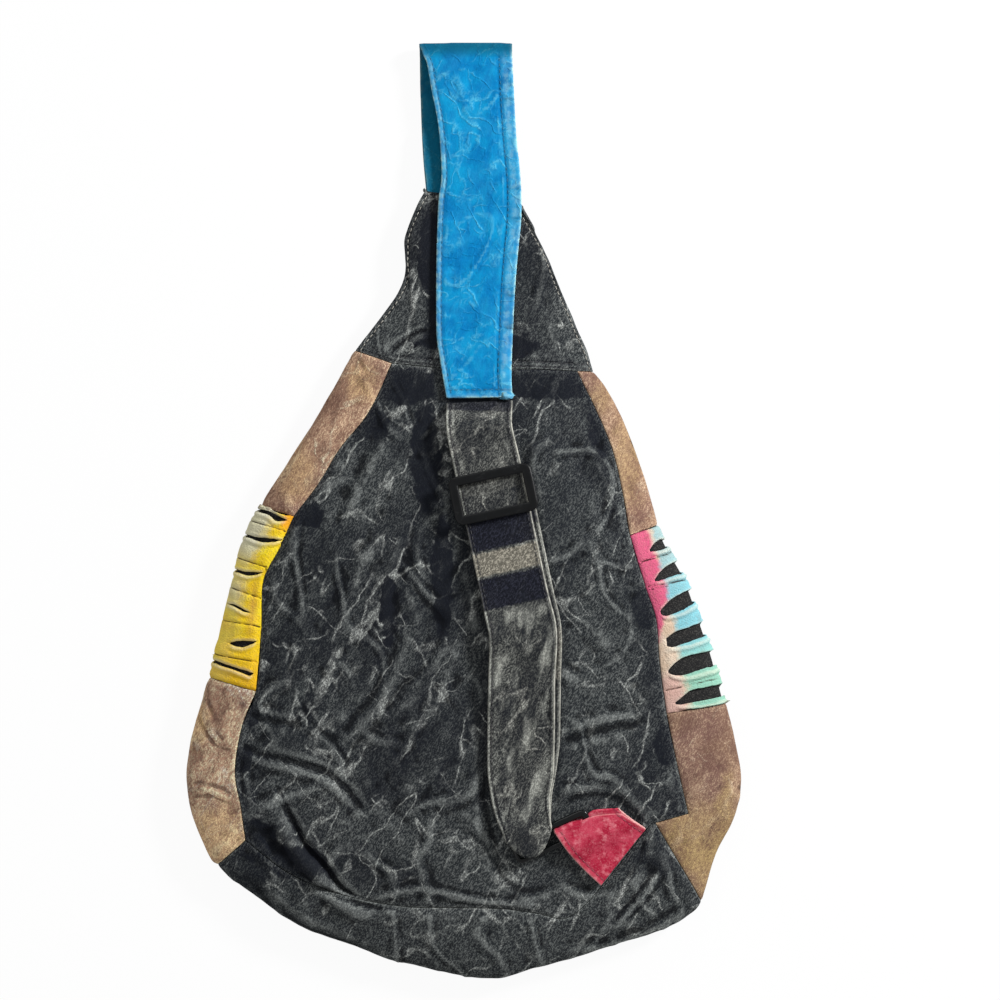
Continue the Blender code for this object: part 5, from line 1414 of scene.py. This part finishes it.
# groove and under carry painted shade into the strap's colour; wear paints ridges paler and
# hollows darker
fields = {"ridgeWearAndCreaseShade": worn(move, 0.25), "rim": np.clip(rimShare, 0, 1),
          "grooveAndShade": np.clip(grooveRight + grooveLeft * 0.6 + grooveEnd, 0, 1) * over,
          "under": underShade}
strapPiece = gridPiece("shoulder_strap_cloth", grid, False, fields, thickness=strap["thick"] - 0.3)
dressed(strapPiece, strapBlue, nodes=["shoulder_strap"])
overRow = int(np.searchsorted(strapRun, turnRun)) / len(strapRun)
stitches("strap_stitches", [rowOn(grid, False, "right", 8.2, overRow, 0.985),
                            rowOn(grid, False, "left", 3.4, overRow, 0.985),
                            rowOn(grid, False, "bottom", 4.8, 0.08, 0.85)], blueThread)
print("shoulder strap done")

# webbing
web = {"thick": 1.2, "width": 38.5, "endWidth": 21.0, "offset": 1.1, "tail": 16.0, "free": 0.4,
       "gap": 0.3, "tongueLength": 34.0, "tongueDepth": 13.0, "tongueWidth": 7.0,
       "slider": (18.3, 8.4), "towards": (33.0, -61.0), "up": 26.0, "down": 70.0,
       "sliderDepth": 29.0, "sliderLength": 50.0, "bar": 2.5, "centreBar": 5.0,
       "lower": [(35.0, -102.6), (34.5, -150.6), (34.7, -172.0), (38.5, -190.0), (42.0, -206.0)],
       "ringFrom": (29.2, -198.2), "ringTo": (74.7, -178.2), "ringBar": 3.2, "ringDepth": 14.9,
       "ringLength": 49.6, "ringFlat": 4.6, "tabLayer": 1.3, "tabFoldEnd": 5.0,
       "tabTop": [(54.6, -191.6), (66.3, -186.2), (78.5, -181.2), (93.9, -180.0)],
       "tabSeam": [(82.1, -223.6), (108.6, -189.4)]}
size = {key: value * mm for key, value in web.items() if isinstance(value, float)}
slideStart, slideTo = inMetres(web["slider"]), inMetres(web["towards"])
way = (slideTo - slideStart) / np.linalg.norm(slideTo - slideStart)
wayAcross = np.array([-way[1], way[0]])
ringStart, ringEnd = inMetres(web["ringFrom"]), inMetres(web["ringTo"])
ringAlong = (ringEnd - ringStart) / np.linalg.norm(ringEnd - ringStart)
ringDown = np.array([ringAlong[1], -ringAlong[0]])

places = np.linspace(-size["up"] - size["sliderDepth"] / 2, size["down"] + size["sliderDepth"] / 2,
                     15)
heights = np.array([tallest(slideStart + way * a, wayAcross, size["sliderLength"])
                    for a in places])
slideSlope = (heights[-1] - heights[0]) / (places[-1] - places[0])
slideLevel = heights[0] + (heights - heights[0] - slideSlope * (places - places[0])).max() \
    - slideSlope * places[0]


def slideBase(a):  # straight line just above the back under the adjuster's travel
    return slideLevel + slideSlope * a


spots = np.array([ringStart + ringAlong * a + ringDown * d for a in np.linspace(-0.005, 0.055, 7)
                  for d in np.linspace(-0.004, 0.030, 5)]
                 + [inMetres(p) for p in web["tabTop"] + web["tabSeam"]])
spotHeights = backTop(spots)
table = np.column_stack([spots, np.ones(len(spots))])
ringFit = np.linalg.lstsq(table, spotHeights, rcond=None)[0]
ringFit[2] += (spotHeights - table @ ringFit).max()
ringUp = size["free"] + size["tabLayer"] + size["free"] + size["ringBar"] / 2


def ringPlane(xy):
    return np.asarray(xy) @ ringFit[:2] + ringFit[2]


def webbingPath():
    # centre points, width directions and widths of the whole run: down over the adjuster's
    # centre bar to the ring, round its bar, back up underneath and round the centre bar
    strapEnd = strapPathEnd
    run = size["free"] + size["thick"] / 2
    wrap = size["free"] * 3 + size["thick"] * 1.5 + size["bar"]
    frontRun = wrap + size["thick"] + size["free"]
    double = size["thick"] + size["free"]
    top = -size["up"] - size["sliderDepth"] / 2
    low = size["down"] + size["sliderDepth"] / 2
    first = strapEnd[:2] + np.array([strapEndAcross[1], -strapEndAcross[0]]) * size["gap"] * 2
    held = [slideStart + way * a for a in (top, top / 2, 0, low / 2, low * 0.8, low)]
    plan = atShares(smoothCurve(np.vstack([[first], held, inMetres(web["lower"])]), 8),
                    np.linspace(0, 1, 65))
    side = acrossOf(plan)
    share = np.linspace(0, 1, len(plan))
    turn = easeStep(0.82, 0.97, share)[:, None] * 0.35
    side = side * (1 - turn) + ringAlong * turn
    side[0] = strapEndAcross
    side /= np.linalg.norm(side, axis=1, keepdims=True)
    widths = size["width"] + (size["endWidth"] - size["width"]) * easeStep(0.80, 0.98, share)
    place = (plan - slideStart) @ way
    past = (plan - ringStart) @ ringDown
    over = ringUp + size["ringBar"] / 2 + size["free"] + size["thick"] / 2
    points, sides, wide = [], [], []

    def add(xy, z, across, width):
        points.append(np.append(xy, z))
        sides.append(np.append(across, 0.0))
        wide.append(width)

    body = [tallest(xy, across, size["width"]) for xy, across in zip(plan, side)]
    for k in range(len(plan)):
        hold = easeStep(place[0], top, place[k]) * (1 - easeStep(low, low + 0.022, place[k]))
        loose = 2.4 * mm * easeStep(low - 0.010, low + 0.012, place[k])
        loose += 1.8 * mm * easeStep(low - 0.010, low + 0.006,
                                     place[k]) * (1 - easeStep(low + 0.03, low + 0.06, place[k]))
        rest = strapEnd[2] if place[k] < 0 else body[k] + run + double + loose
        z = rest + (slideBase(place[k]) + frontRun - rest) * hold
        rising = easeStep(-0.022, -0.004, past[k]) if place[k] > low else 0
        z += (ringPlane(plan[k]) + over + double + loose * 0.6 - z) * rising
        add(plan[k], z, side[k], widths[k])
    last = points[-1]
    for angle in np.radians((30, 60, 90, 120, 150)):
        add(last[:2] + ringDown * double / 2 * math.sin(angle),
            last[2] - double / 2 * (1 - math.cos(angle)),
            side[-1], widths[-1])
    frontCount = len(points)
    for k in range(len(plan) - 1, -1, -1):
        if place[k] < -0.001:
            break
        easing = easeStep(low, low + 0.022, place[k])
        z = (slideBase(place[k]) + run) * (1 - easing) + (body[k] + run) * easing
        z += (ringPlane(plan[k]) + run - z) * easeStep(-0.022, -0.004, past[k])
        z += (over - run) * easeStep(size["ringBar"] / 2 + size["free"],
                                     size["ringDepth"] / 2 + 0.001, past[k])
        shift = size["offset"] * easeStep(len(plan) - 1, len(plan) - 8, k)
        add(plan[k] + side[k] * shift, z, side[k], widths[k])
    turnAt = -size["centreBar"] / 2 + size["free"]
    radius = (wrap - run) / 2
    for angle in np.radians(np.arange(0, 181, 18)):
        a = turnAt - radius * math.sin(angle)
        add(slideStart + way * a + wayAcross * size["offset"],
            slideBase(a) + (run + wrap) / 2 - radius * math.cos(angle), wayAcross, size["width"])
    for a, z in ((size["centreBar"] / 2, wrap),
                 (size["centreBar"], wrap * 0.8 + (run + double) * 0.2),
                 (size["centreBar"] * 1.7, run + double), (size["tail"], run + double)):
        add(slideStart + way * a + wayAcross * size["offset"], slideBase(a) + z, wayAcross,
            size["width"])
    return np.array(points), np.array(sides), np.array(wide), frontCount


overPath = strapLines()[0]
strapPathEnd = overPath[-1]
endWay = (overPath[-1] - overPath[-8])[:2]
strapEndAcross = np.array([-endWay[1], endWay[0]]) / np.linalg.norm(endWay)
webPoints, webSides, webWidths, webFront = webbingPath()
webTip = webPoints[webFront - 3, :2]
webEndWay = (webPoints[webFront - 6] - webPoints[webFront - 10])[:2]
webEndWay /= np.linalg.norm(webEndWay)


def webbingPiece(name, points, sides, widths, material, seed, extraRight=0.0):
    # a flat tube of cotton carried along the path, crowned a little, with sewn edges
    run = runLength(points)
    shares = np.linspace(0, 1, int(run[-1] / (1.5 * mm)))
    points, sides = atShares(points, shares, run), atShares(sides, shares, run)
    widths = np.interp(shares * run[-1], run, widths)
    points[2:-2, 2] = (np.convolve(points[:, 2], np.ones(5) / 5, "valid") * 0.7
                       + points[2:-2, 2] * 0.3)
    u = seamShares(0.036, 1.3 * mm, (0.0, 0.4, 0.9, 1.5, 2.2))
    wobble = softNoise(np.stack([shares * run[-1], shares * 0 + seed, shares * 0], axis=1), 0.030,
                       seed) * 0.6 * mm
    widths = widths + wobble + web["tongueWidth"] * mm * easeStep(
        0.045, 0.010, np.linalg.norm(points[:, :2] - webTip, axis=1))
    spare = extraRight * mm * easeStep(0.0, 0.025, shares * run[-1])
    offset = (u[None, :] - 0.5) * widths[:, None] + spare[:, None] * u[None, :]
    middle = points[:, None] + sides[:, None] * offset[..., None]
    # the bunched end is a rounded tongue: its edges stay behind its middle
    back = np.array([-webEndWay[0], -webEndWay[1], 0.0])
    near = 1 - easeStep(0.0, web["tongueLength"] * mm,
                        np.linalg.norm(points[:, :2] - webTip, axis=1))
    middle = middle + back * (near[:, None, None]
                              * ((2 * u - 1) ** 2 * web["tongueDepth"] * mm)[None, :, None])
    normals = np.cross(sides, np.gradient(points, axis=0))
    normals /= np.linalg.norm(normals, axis=1, keepdims=True)
    runs = edgeRuns(middle)
    edge = np.minimum(runs["left"], runs["right"])
    same = middle.copy()
    same[..., 2] = 0
    move = softNoise(slanted(same, 95, 3.0), 0.010, 61) * 0.20 + softNoise(same, 0.004, 62) * 0.08
    move += bell(softNoise(slanted(same, 70, 2.0), 0.018, 63), 0.12) * 0.25
    move *= easeStep(0.0, 0.003, edge)
    # stitched groove: dented, and darkened in the colour as painted shade
    grooveAndShade = bell((edge - 1.9 * mm) / mm, 0.5)
    move -= grooveAndShade * 0.25
    move = move * mm + seamRelief(runs, ("left", "right"), 0.35, 1.0)
    grid = middle + normals[:, None] * (size["thick"] / 2 + move)[..., None]
    # rim: worn edges, the right one made four times as pale as the left as a painted highlight on
    # the lit side
    fields = {"ridgeWearAndCreaseShade": worn(move, 0.12), "seam": np.exp(-edge / (2 * mm)),
              "rim": np.clip(np.exp(-runs["right"] / (0.28 * mm))
                             + np.exp(-runs["left"] / (0.28 * mm)) * 0.25,
                             0, 1), "grooveAndShade": grooveAndShade}
    uv = np.stack([runs["left"], np.tile((shares * run[-1])[:, None], (1, len(u)))], axis=-1)
    piece = gridPiece(name, grid, False, fields, uv=uv, thickness=web["thick"] - 0.15)
    dressed(piece, material, None)
    return piece, grid


# lengths along the run from the blue strap's end, in mm
navy, beige = (0.0105, 0.0115, 0.0190), (0.205, 0.190, 0.155)
frontWeb = webbingCotton("webbing_front",
                         [(0, 8, (0.012, 0.013, 0.020), 0.75), (46, 60, (0.10, 0.10, 0.09), 0.3),
                                           (72, 93, navy, 0.95), (93, 108, beige, 0.9),
                                           (108, 128, navy, 0.95)])
returnWeb = webbingCotton("webbing_return", [(60, 90, beige, 0.4), (150, 175, navy, 0.8)])

joinAt = webFront + 9   # the lower piece ends a little way up the return run
lowerEnd = joinAt + 3
frontPiece, frontGrid = webbingPiece("webbing_front_run", webPoints[:lowerEnd],
                                     webSides[:lowerEnd],
                                     webWidths[:lowerEnd], frontWeb, 71)
returnPiece, returnGrid = webbingPiece("webbing_return_run", webPoints[joinAt + 2:],
                                       webSides[joinAt + 2:],
                                       webWidths[joinAt + 2:], returnWeb, 72, 2.2)
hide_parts("strap_webbing")

frontRows = [rowOn(frontGrid, False, side, 1.9, 0.01, 0.72) for side in ("left", "right")]
frontStitches = stitches("webbing_stitches", frontRows, darkThread, None)
loopRow = rowOn(returnGrid, False, "bottom", 2.0, 0.06, 0.94)
stitches("loop_end_stitches", [loopRow, rowOn(returnGrid, False, "bottom", 4.2, 0.06, 0.94)],
         rustThread, "adjuster")
sliderTop = np.append(slideStart, slideBase(0))
slideLowEnd = np.append(slideStart + way * 0.124, slideBase(0.124))
slideHighEnd = np.append(slideStart + way * 0.015, slideBase(0.015))
for piece in (frontPiece, frontStitches):
    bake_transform(piece)
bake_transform(returnPiece)
print("webbing done")

# strap adjuster
adjuster = {"length": 50.0, "depth": 29.0, "rail": 5.6, "bar": 2.5, "centreBar": 5.0,
            "corner": 3.6}


def roundedLoop(halfX, halfY, radius, steps=8):
    # rounded rectangle, anticlockwise from the middle of its first corner
    angles = np.radians(np.linspace(0, 90, steps + 1))
    corners = [np.stack([sx * (halfX - radius) + radius * np.cos(angles + turn),
                         sy * (halfY - radius) + radius * np.sin(angles + turn)], axis=1)
               for sx, sy, turn in ((1, 1, 0), (-1, 1, math.pi / 2), (-1, -1, math.pi),
                                    (1, -1, 3 * math.pi / 2))]
    return np.vstack(corners)


def loopBar(name, path, width, height, power, origin, xAxis, yAxis, ringCount=20):
    # a bar of superellipse section carried round a closed plane path
    tangent = np.roll(path, -1, axis=0) - np.roll(path, 1, axis=0)
    out = np.stack([tangent[:, 1], -tangent[:, 0]], axis=1)
    out /= np.linalg.norm(out, axis=1, keepdims=True)
    angles = np.linspace(0, 2 * math.pi, ringCount, endpoint=False)
    c, s = np.cos(angles), np.sin(angles)
    a = np.sign(c) * np.abs(c) ** (2 / power) * np.broadcast_to(width, len(path))[:, None] / 2
    b = np.sign(s) * np.abs(s) ** (2 / power) * height / 2
    flat = path[:, None] + out[:, None] * a[..., None]
    local = np.concatenate([flat, np.broadcast_to(b[None, :, None], flat.shape[:2] + (1,))],
                           axis=2)
    zAxis = np.cross(xAxis, yAxis)
    points = origin + local @ np.stack([xAxis, yAxis, zAxis])
    count = len(path)
    index = np.arange(count * ringCount).reshape(count, ringCount)
    after, up = np.roll(index, -1, axis=0), np.roll(index, -1, axis=1)
    both = np.roll(after, -1, axis=1)
    faces = np.stack([index, after, both, up], axis=-1).reshape(-1, 4)
    return meshPiece(name, points, faces.tolist())


xAxis = np.array([-way[1], way[0], 0.0])
yAxis = np.array([-way[0], -way[1], -slideSlope])
yAxis /= np.linalg.norm(yAxis)
zAxis = np.cross(xAxis, yAxis)
barUp = size["free"] * 2 + size["thick"]
frameUp = size["free"] * 3 + size["thick"] * 1.5 + size["bar"] + size["thick"] + size["free"] \
    + size["thick"] / 2 + size["free"]
origin = sliderTop
blackPlastic = plastic("black_plastic", 0.30, 0.0, 0.5)
a = adjuster
loop = roundedLoop((a["length"] - a["rail"]) / 2 * mm, (a["depth"] - a["rail"]) / 2 * mm, 2.4 * mm)
outerFrame = loopBar("adjuster_frame", loop, a["rail"] * mm, a["bar"] * mm, 3.4,
                     origin + zAxis * (frameUp + size["bar"] / 2), xAxis, yAxis)


def blockBar(name, halfX, halfY, low, high):
    # a closed rounded bar: superellipse section across Y and Z, carried along X
    around, power = 24, 0.55
    angles = np.linspace(0, 2 * math.pi, around, endpoint=False)
    c, s = np.cos(angles), np.sin(angles)
    y = np.sign(c) * np.abs(c) ** power * halfY
    middle = (low + high) / 2
    z = middle + np.sign(s) * np.abs(s) ** power * (high - low) / 2
    xs = np.array([-1, -1, -0.985, 0.985, 1, 1]) * halfX
    shrink = np.array([0.0, 0.86, 1, 1, 0.86, 0.0])
    local = np.stack([np.tile(xs[:, None], (1, around)), y[None] * shrink[:, None],
                      middle + (z[None] - middle) * shrink[:, None]], axis=-1)
    points = origin + local.reshape(-1, 3) @ np.stack([xAxis, yAxis, zAxis])
    index = np.arange(len(xs) * around).reshape(len(xs), around)
    after = np.roll(index, -1, axis=1)
    faces = np.stack([index[:-1], index[1:], after[1:], after[:-1]], axis=-1).reshape(-1, 4)
    thing = meshPiece(name, points, faces.tolist())
    work = bmesh.new()
    work.from_mesh(thing.data)
    bmesh.ops.remove_doubles(work, verts=work.verts, dist=1e-6)
    bmesh.ops.recalc_face_normals(work, faces=work.faces)
    work.to_mesh(thing.data)
    work.free()
    return thing


centreBar = blockBar("adjuster_centre_bar", (a["length"] / 2 - 0.8) * mm, a["centreBar"] / 2 * mm,
                     barUp,
                     barUp + size["bar"])
dressed(outerFrame, blackPlastic, "adjuster", ["strap_adjuster"])
dressed(centreBar, blackPlastic, "adjuster")
for sign in (-1, 1):
    postLoop = roundedLoop(1.5 * mm, a["centreBar"] / 2 * mm, 1.2 * mm, 5) + (sign * 0.6 * mm, 0)
    count = len(postLoop)
    levels = np.array([barUp + 0.2 * mm, frameUp + size["bar"] * 0.6])
    local = np.concatenate([np.concatenate([postLoop
                                            + (sign * (a["length"] - a["rail"]) / 2 * mm, 0),
                                            np.full((count, 1), z)], axis=1) for z in levels])
    points = origin + local @ np.stack([xAxis, yAxis, zAxis])
    k = np.arange(count)
    n = (k + 1) % count
    walls = np.stack([k, n, n + count, k + count], axis=1).tolist()
    post = meshPiece(f"adjuster_post_{'left' if sign < 0 else 'right'}", points,
                     walls + [k[::-1].tolist(), (k + count).tolist()], smooth=False)
    dressed(post, blackPlastic, "adjuster")

# ring
glossPlastic = plastic("gloss_black_plastic", 0.16, 0.25, 0.3)
ringHalf = ((web["ringLength"] - web["ringBar"]) / 2 * mm,
            (web["ringDepth"] - web["ringBar"]) / 2 * mm)
ringMiddle = ringStart + ringAlong * ringHalf[0] + ringDown * ringHalf[1]
ringX = np.append(ringAlong, ringAlong @ ringFit[:2])
ringX /= np.linalg.norm(ringX)
ringY = np.append(-ringDown, -ringDown @ ringFit[:2])
ringZ = np.cross(ringX, ringY)
ringZ /= np.linalg.norm(ringZ)
ringY = np.cross(ringZ, ringX)
ringLoop = roundedLoop(*ringHalf, 2.4 * mm, 6)
seenShare = easeStep(0.0005, 0.004, ringLoop[:, 0]) * easeStep(0.0, ringHalf[1] * 0.8,
                                                               ringLoop[:, 1])
ringPiece = loopBar("ring_bar", ringLoop,
                    size["ringBar"] + (size["ringFlat"] - size["ringBar"]) * seenShare,
                    size["ringBar"], 2.4,
                    np.append(ringMiddle, ringPlane(ringMiddle) + ringUp), ringX, ringY)
dressed(ringPiece, glossPlastic, "ring", ["rectangular_ring"])
print("adjuster and ring done")

# anchor tab
tabColumns = seamShares(0.043, 1.1 * mm, (0.0, 0.4, 0.9, 1.5, 2.2))


def tabGrid():
    # lower layer, turn round the ring's lower bar, upper layer; the turn stops short of the
    # ring's end, where the two layers lie apart
    rows = np.linspace(0, 1, 30)
    top = atShares(smoothCurve(inMetres(web["tabTop"])), tabColumns)
    seam = atShares(inMetres(web["tabSeam"]), tabColumns)
    patch = top[None] + (seam - top)[None] * rows[:, None, None]
    past = (patch - ringStart) @ ringDown
    floor = size["free"] + size["tabLayer"] / 2
    ceiling = ringUp + size["ringBar"] / 2 + size["free"] + size["tabLayer"] / 2
    closed = floor + size["tabLayer"] + size["free"]
    height = ceiling + (closed - ceiling) * easeStep(size["ringDepth"], size["ringDepth"] + 0.014,
                                                     past)
    plan = ringPlane(patch)
    lower = np.concatenate([patch, (plan + floor)[..., None]], axis=2)
    upper = np.concatenate([patch, (plan + height)[..., None]], axis=2)
    radius = (ceiling - floor) / 2
    run = (top - ringStart) @ ringAlong
    foldEnd = size["ringLength"] - size["tabFoldEnd"]
    full = 1 - easeStep(foldEnd - 0.009, foldEnd, run)
    peek = easeStep(foldEnd - 0.001, foldEnd + 0.008, run) * (1 - rows[:, None]) ** 3
    lower[..., :2] -= ringDown * (peek * 2.6 * mm)[..., None]
    bow = np.sin(math.pi * rows)[:, None] * (1 - tabColumns)[None] ** 2 * 1.8 * mm
    for layer in (lower, upper):
        layer[..., :2] -= ringAlong * bow[..., None]
    turn = []
    for angle in np.radians(np.arange(15, 166, 15)):
        row = lower[0].copy()
        row[:, :2] -= ringDown * (0.55 * radius * math.sin(angle) * full)[:, None]
        row[:, 2] += radius * (1 - math.cos(angle))
        turn.append(row)
    middle = np.vstack([lower[::-1], np.array(turn), upper])
    keep = np.ones((middle.shape[0] - 1, len(tabColumns) - 1), bool)
    keep[len(rows) - 1:len(rows) + len(turn),
         run[1:] > size["ringLength"] - size["tabFoldEnd"]] = False
    return middle, keep, len(rows) + len(turn)


tabMiddle, tabKeep, upperFrom = tabGrid()
normals = gridNormals(tabMiddle, False)
runs = edgeRuns(tabMiddle)
edge = np.minimum(runs["left"], runs["right"])
upperRows = easeStep(upperFrom - 8, upperFrom - 4, np.arange(len(tabMiddle)))[:, None]
move = (softNoise(tabMiddle, 0.010, 81) * 0.35 + softNoise(tabMiddle, 0.005, 82)
        * 0.14) * upperRows
topLine = bell(np.arange(len(tabMiddle)) - upperFrom + 1.0, 1.1)[:, None] * easeStep(0.45, 0.6,
                                                                                     tabColumns)
# stitched grooves: dented, and darkened in the colour as painted shade
grooveAndShade = bell((runs["left"] - 3.6 * mm) / mm, 0.5) + bell((runs["right"] - 3.0 * mm) / mm, 0.5)
move = np.maximum(move - grooveAndShade * 0.35, -0.3) * mm + seamRelief(runs, ("left", "right"), 0.3, 0.9)
grid = tabMiddle + normals * (size["tabLayer"] / 2 + move)[..., None]
fields = {"rim": np.clip(np.exp(-edge / (0.45 * mm)) + topLine, 0, 1),
          "grooveAndShade": np.clip(grooveAndShade, 0, 1)}
redTab = redCotton()
tab = gridPiece("anchor_tab_cloth", grid, False, fields, tabKeep, thickness=1.1)
dressed(tab, redTab, None, ["anchor_tab"])
upperShare = upperFrom / len(grid)
tabRows = [rowOn(grid, False, side, inset, upperShare, 0.99) for side,
           inset in (("left", 3.6), ("right", 3.0))]
tabStitches = stitches("tab_stitches", tabRows, redThread, None)
tabMiddlePlace = ringStart + ringAlong * 0.030
for piece in (tab, tabStitches):   # the tab and its stitches are baked where they lie
    [np.append(tabMiddlePlace + ringDown * past, ringPlane(tabMiddlePlace) + ringUp)
                                     for past in (0.0130, 0.0070)]
    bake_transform(piece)
print("tab done")

# floor, light, camera


def floorAndLight():
    bpy.ops.mesh.primitive_plane_add(size=6)
    floor = bpy.context.object
    floor.name = "floor"
    floor.location = (0, 0, -0.0005)
    finish = Finish("pale_floor", Roughness=0.95)
    finish.feed("Base Color",
                finish.mix(finish.noise(60, 2.0) * 0.05, (0.90, 0.90, 0.90), (0.86, 0.86, 0.86)))
    emission = finish.tree.nodes.new("ShaderNodeEmission")
    emission.inputs["Strength"].default_value = 1.0
    shades = finish.tree.nodes.new("ShaderNodeMixShader")
    path = finish.tree.nodes.new("ShaderNodeLightPath")
    seen = Value(finish, path.outputs["Is Camera Ray"]) + Value(finish,
                                                                path.outputs["Is Glossy Ray"]) \
        + Value(finish, path.outputs["Is Transmission Ray"])
    seen = seen.clamp() * 0.94
    output = finish.tree.nodes["Material Output"]
    finish.tree.links.new(seen.socket, shades.inputs[0])
    finish.tree.links.new(finish.shader.outputs[0], shades.inputs[1])
    finish.tree.links.new(emission.outputs[0], shades.inputs[2])
    finish.tree.links.new(shades.outputs[0], output.inputs[0])
    floor.data.materials.append(finish.material)
    for name, place, aim, size, energy in (
            ("key", (1.22, 0.72, 0.80), (0, -0.02, 0), 0.28, 33.0),
            ("fill", (-1.0, -0.5, 1.6), (0, 0, 0), 1.6, 4.0),
            ("back", (-0.3, 1.4, 1.0), (0, 0, 0), 1.0, 5.0)):
        lamp = bpy.data.lights.new(name, "AREA")
        lamp.size = size
        lamp.energy = energy
        thing = bpy.data.objects.new(name, lamp)
        thing.location = place
        thing.rotation_euler = (Vector(aim) - Vector(place)).to_track_quat("-Z", "Y").to_euler()
        bpy.context.scene.collection.objects.link(thing)
    world = bpy.data.worlds.new("studio")
    world.use_nodes = True
    shade = world.node_tree.nodes["Background"]
    shade.inputs["Color"].default_value = (1, 1, 1, 1)
    nodes, links = world.node_tree.nodes, world.node_tree.links
    path = nodes.new("ShaderNodeLightPath")
    strength = nodes.new("ShaderNodeMapRange")
    strength.inputs["To Min"].default_value = 0.38
    strength.inputs["To Max"].default_value = 1.0
    links.new(path.outputs["Is Camera Ray"], strength.inputs["Value"])
    links.new(strength.outputs[0], shade.inputs["Strength"])
    bpy.context.scene.world = world


view = {"middle": (22.2, 5.4), "width": 600.0, "lens": 75.0, "sensor": 36.0, "level": 15.0}


def lookDown():
    camera = bpy.data.cameras.new("camera")
    camera.lens, camera.sensor_width = view["lens"], view["sensor"]
    thing = bpy.data.objects.new("camera", camera)
    distance = view["width"] * view["lens"] / view["sensor"]
    thing.location = (view["middle"][0] * mm, view["middle"][1] * mm,
                      (distance + view["level"]) * mm)
    camera.clip_start, camera.clip_end = 0.05, 20
    bpy.context.scene.collection.objects.link(thing)
    bpy.context.scene.camera = thing


floorAndLight()
lookDown()
bpy.context.scene.view_settings.view_transform = "Standard"
print("stage done")
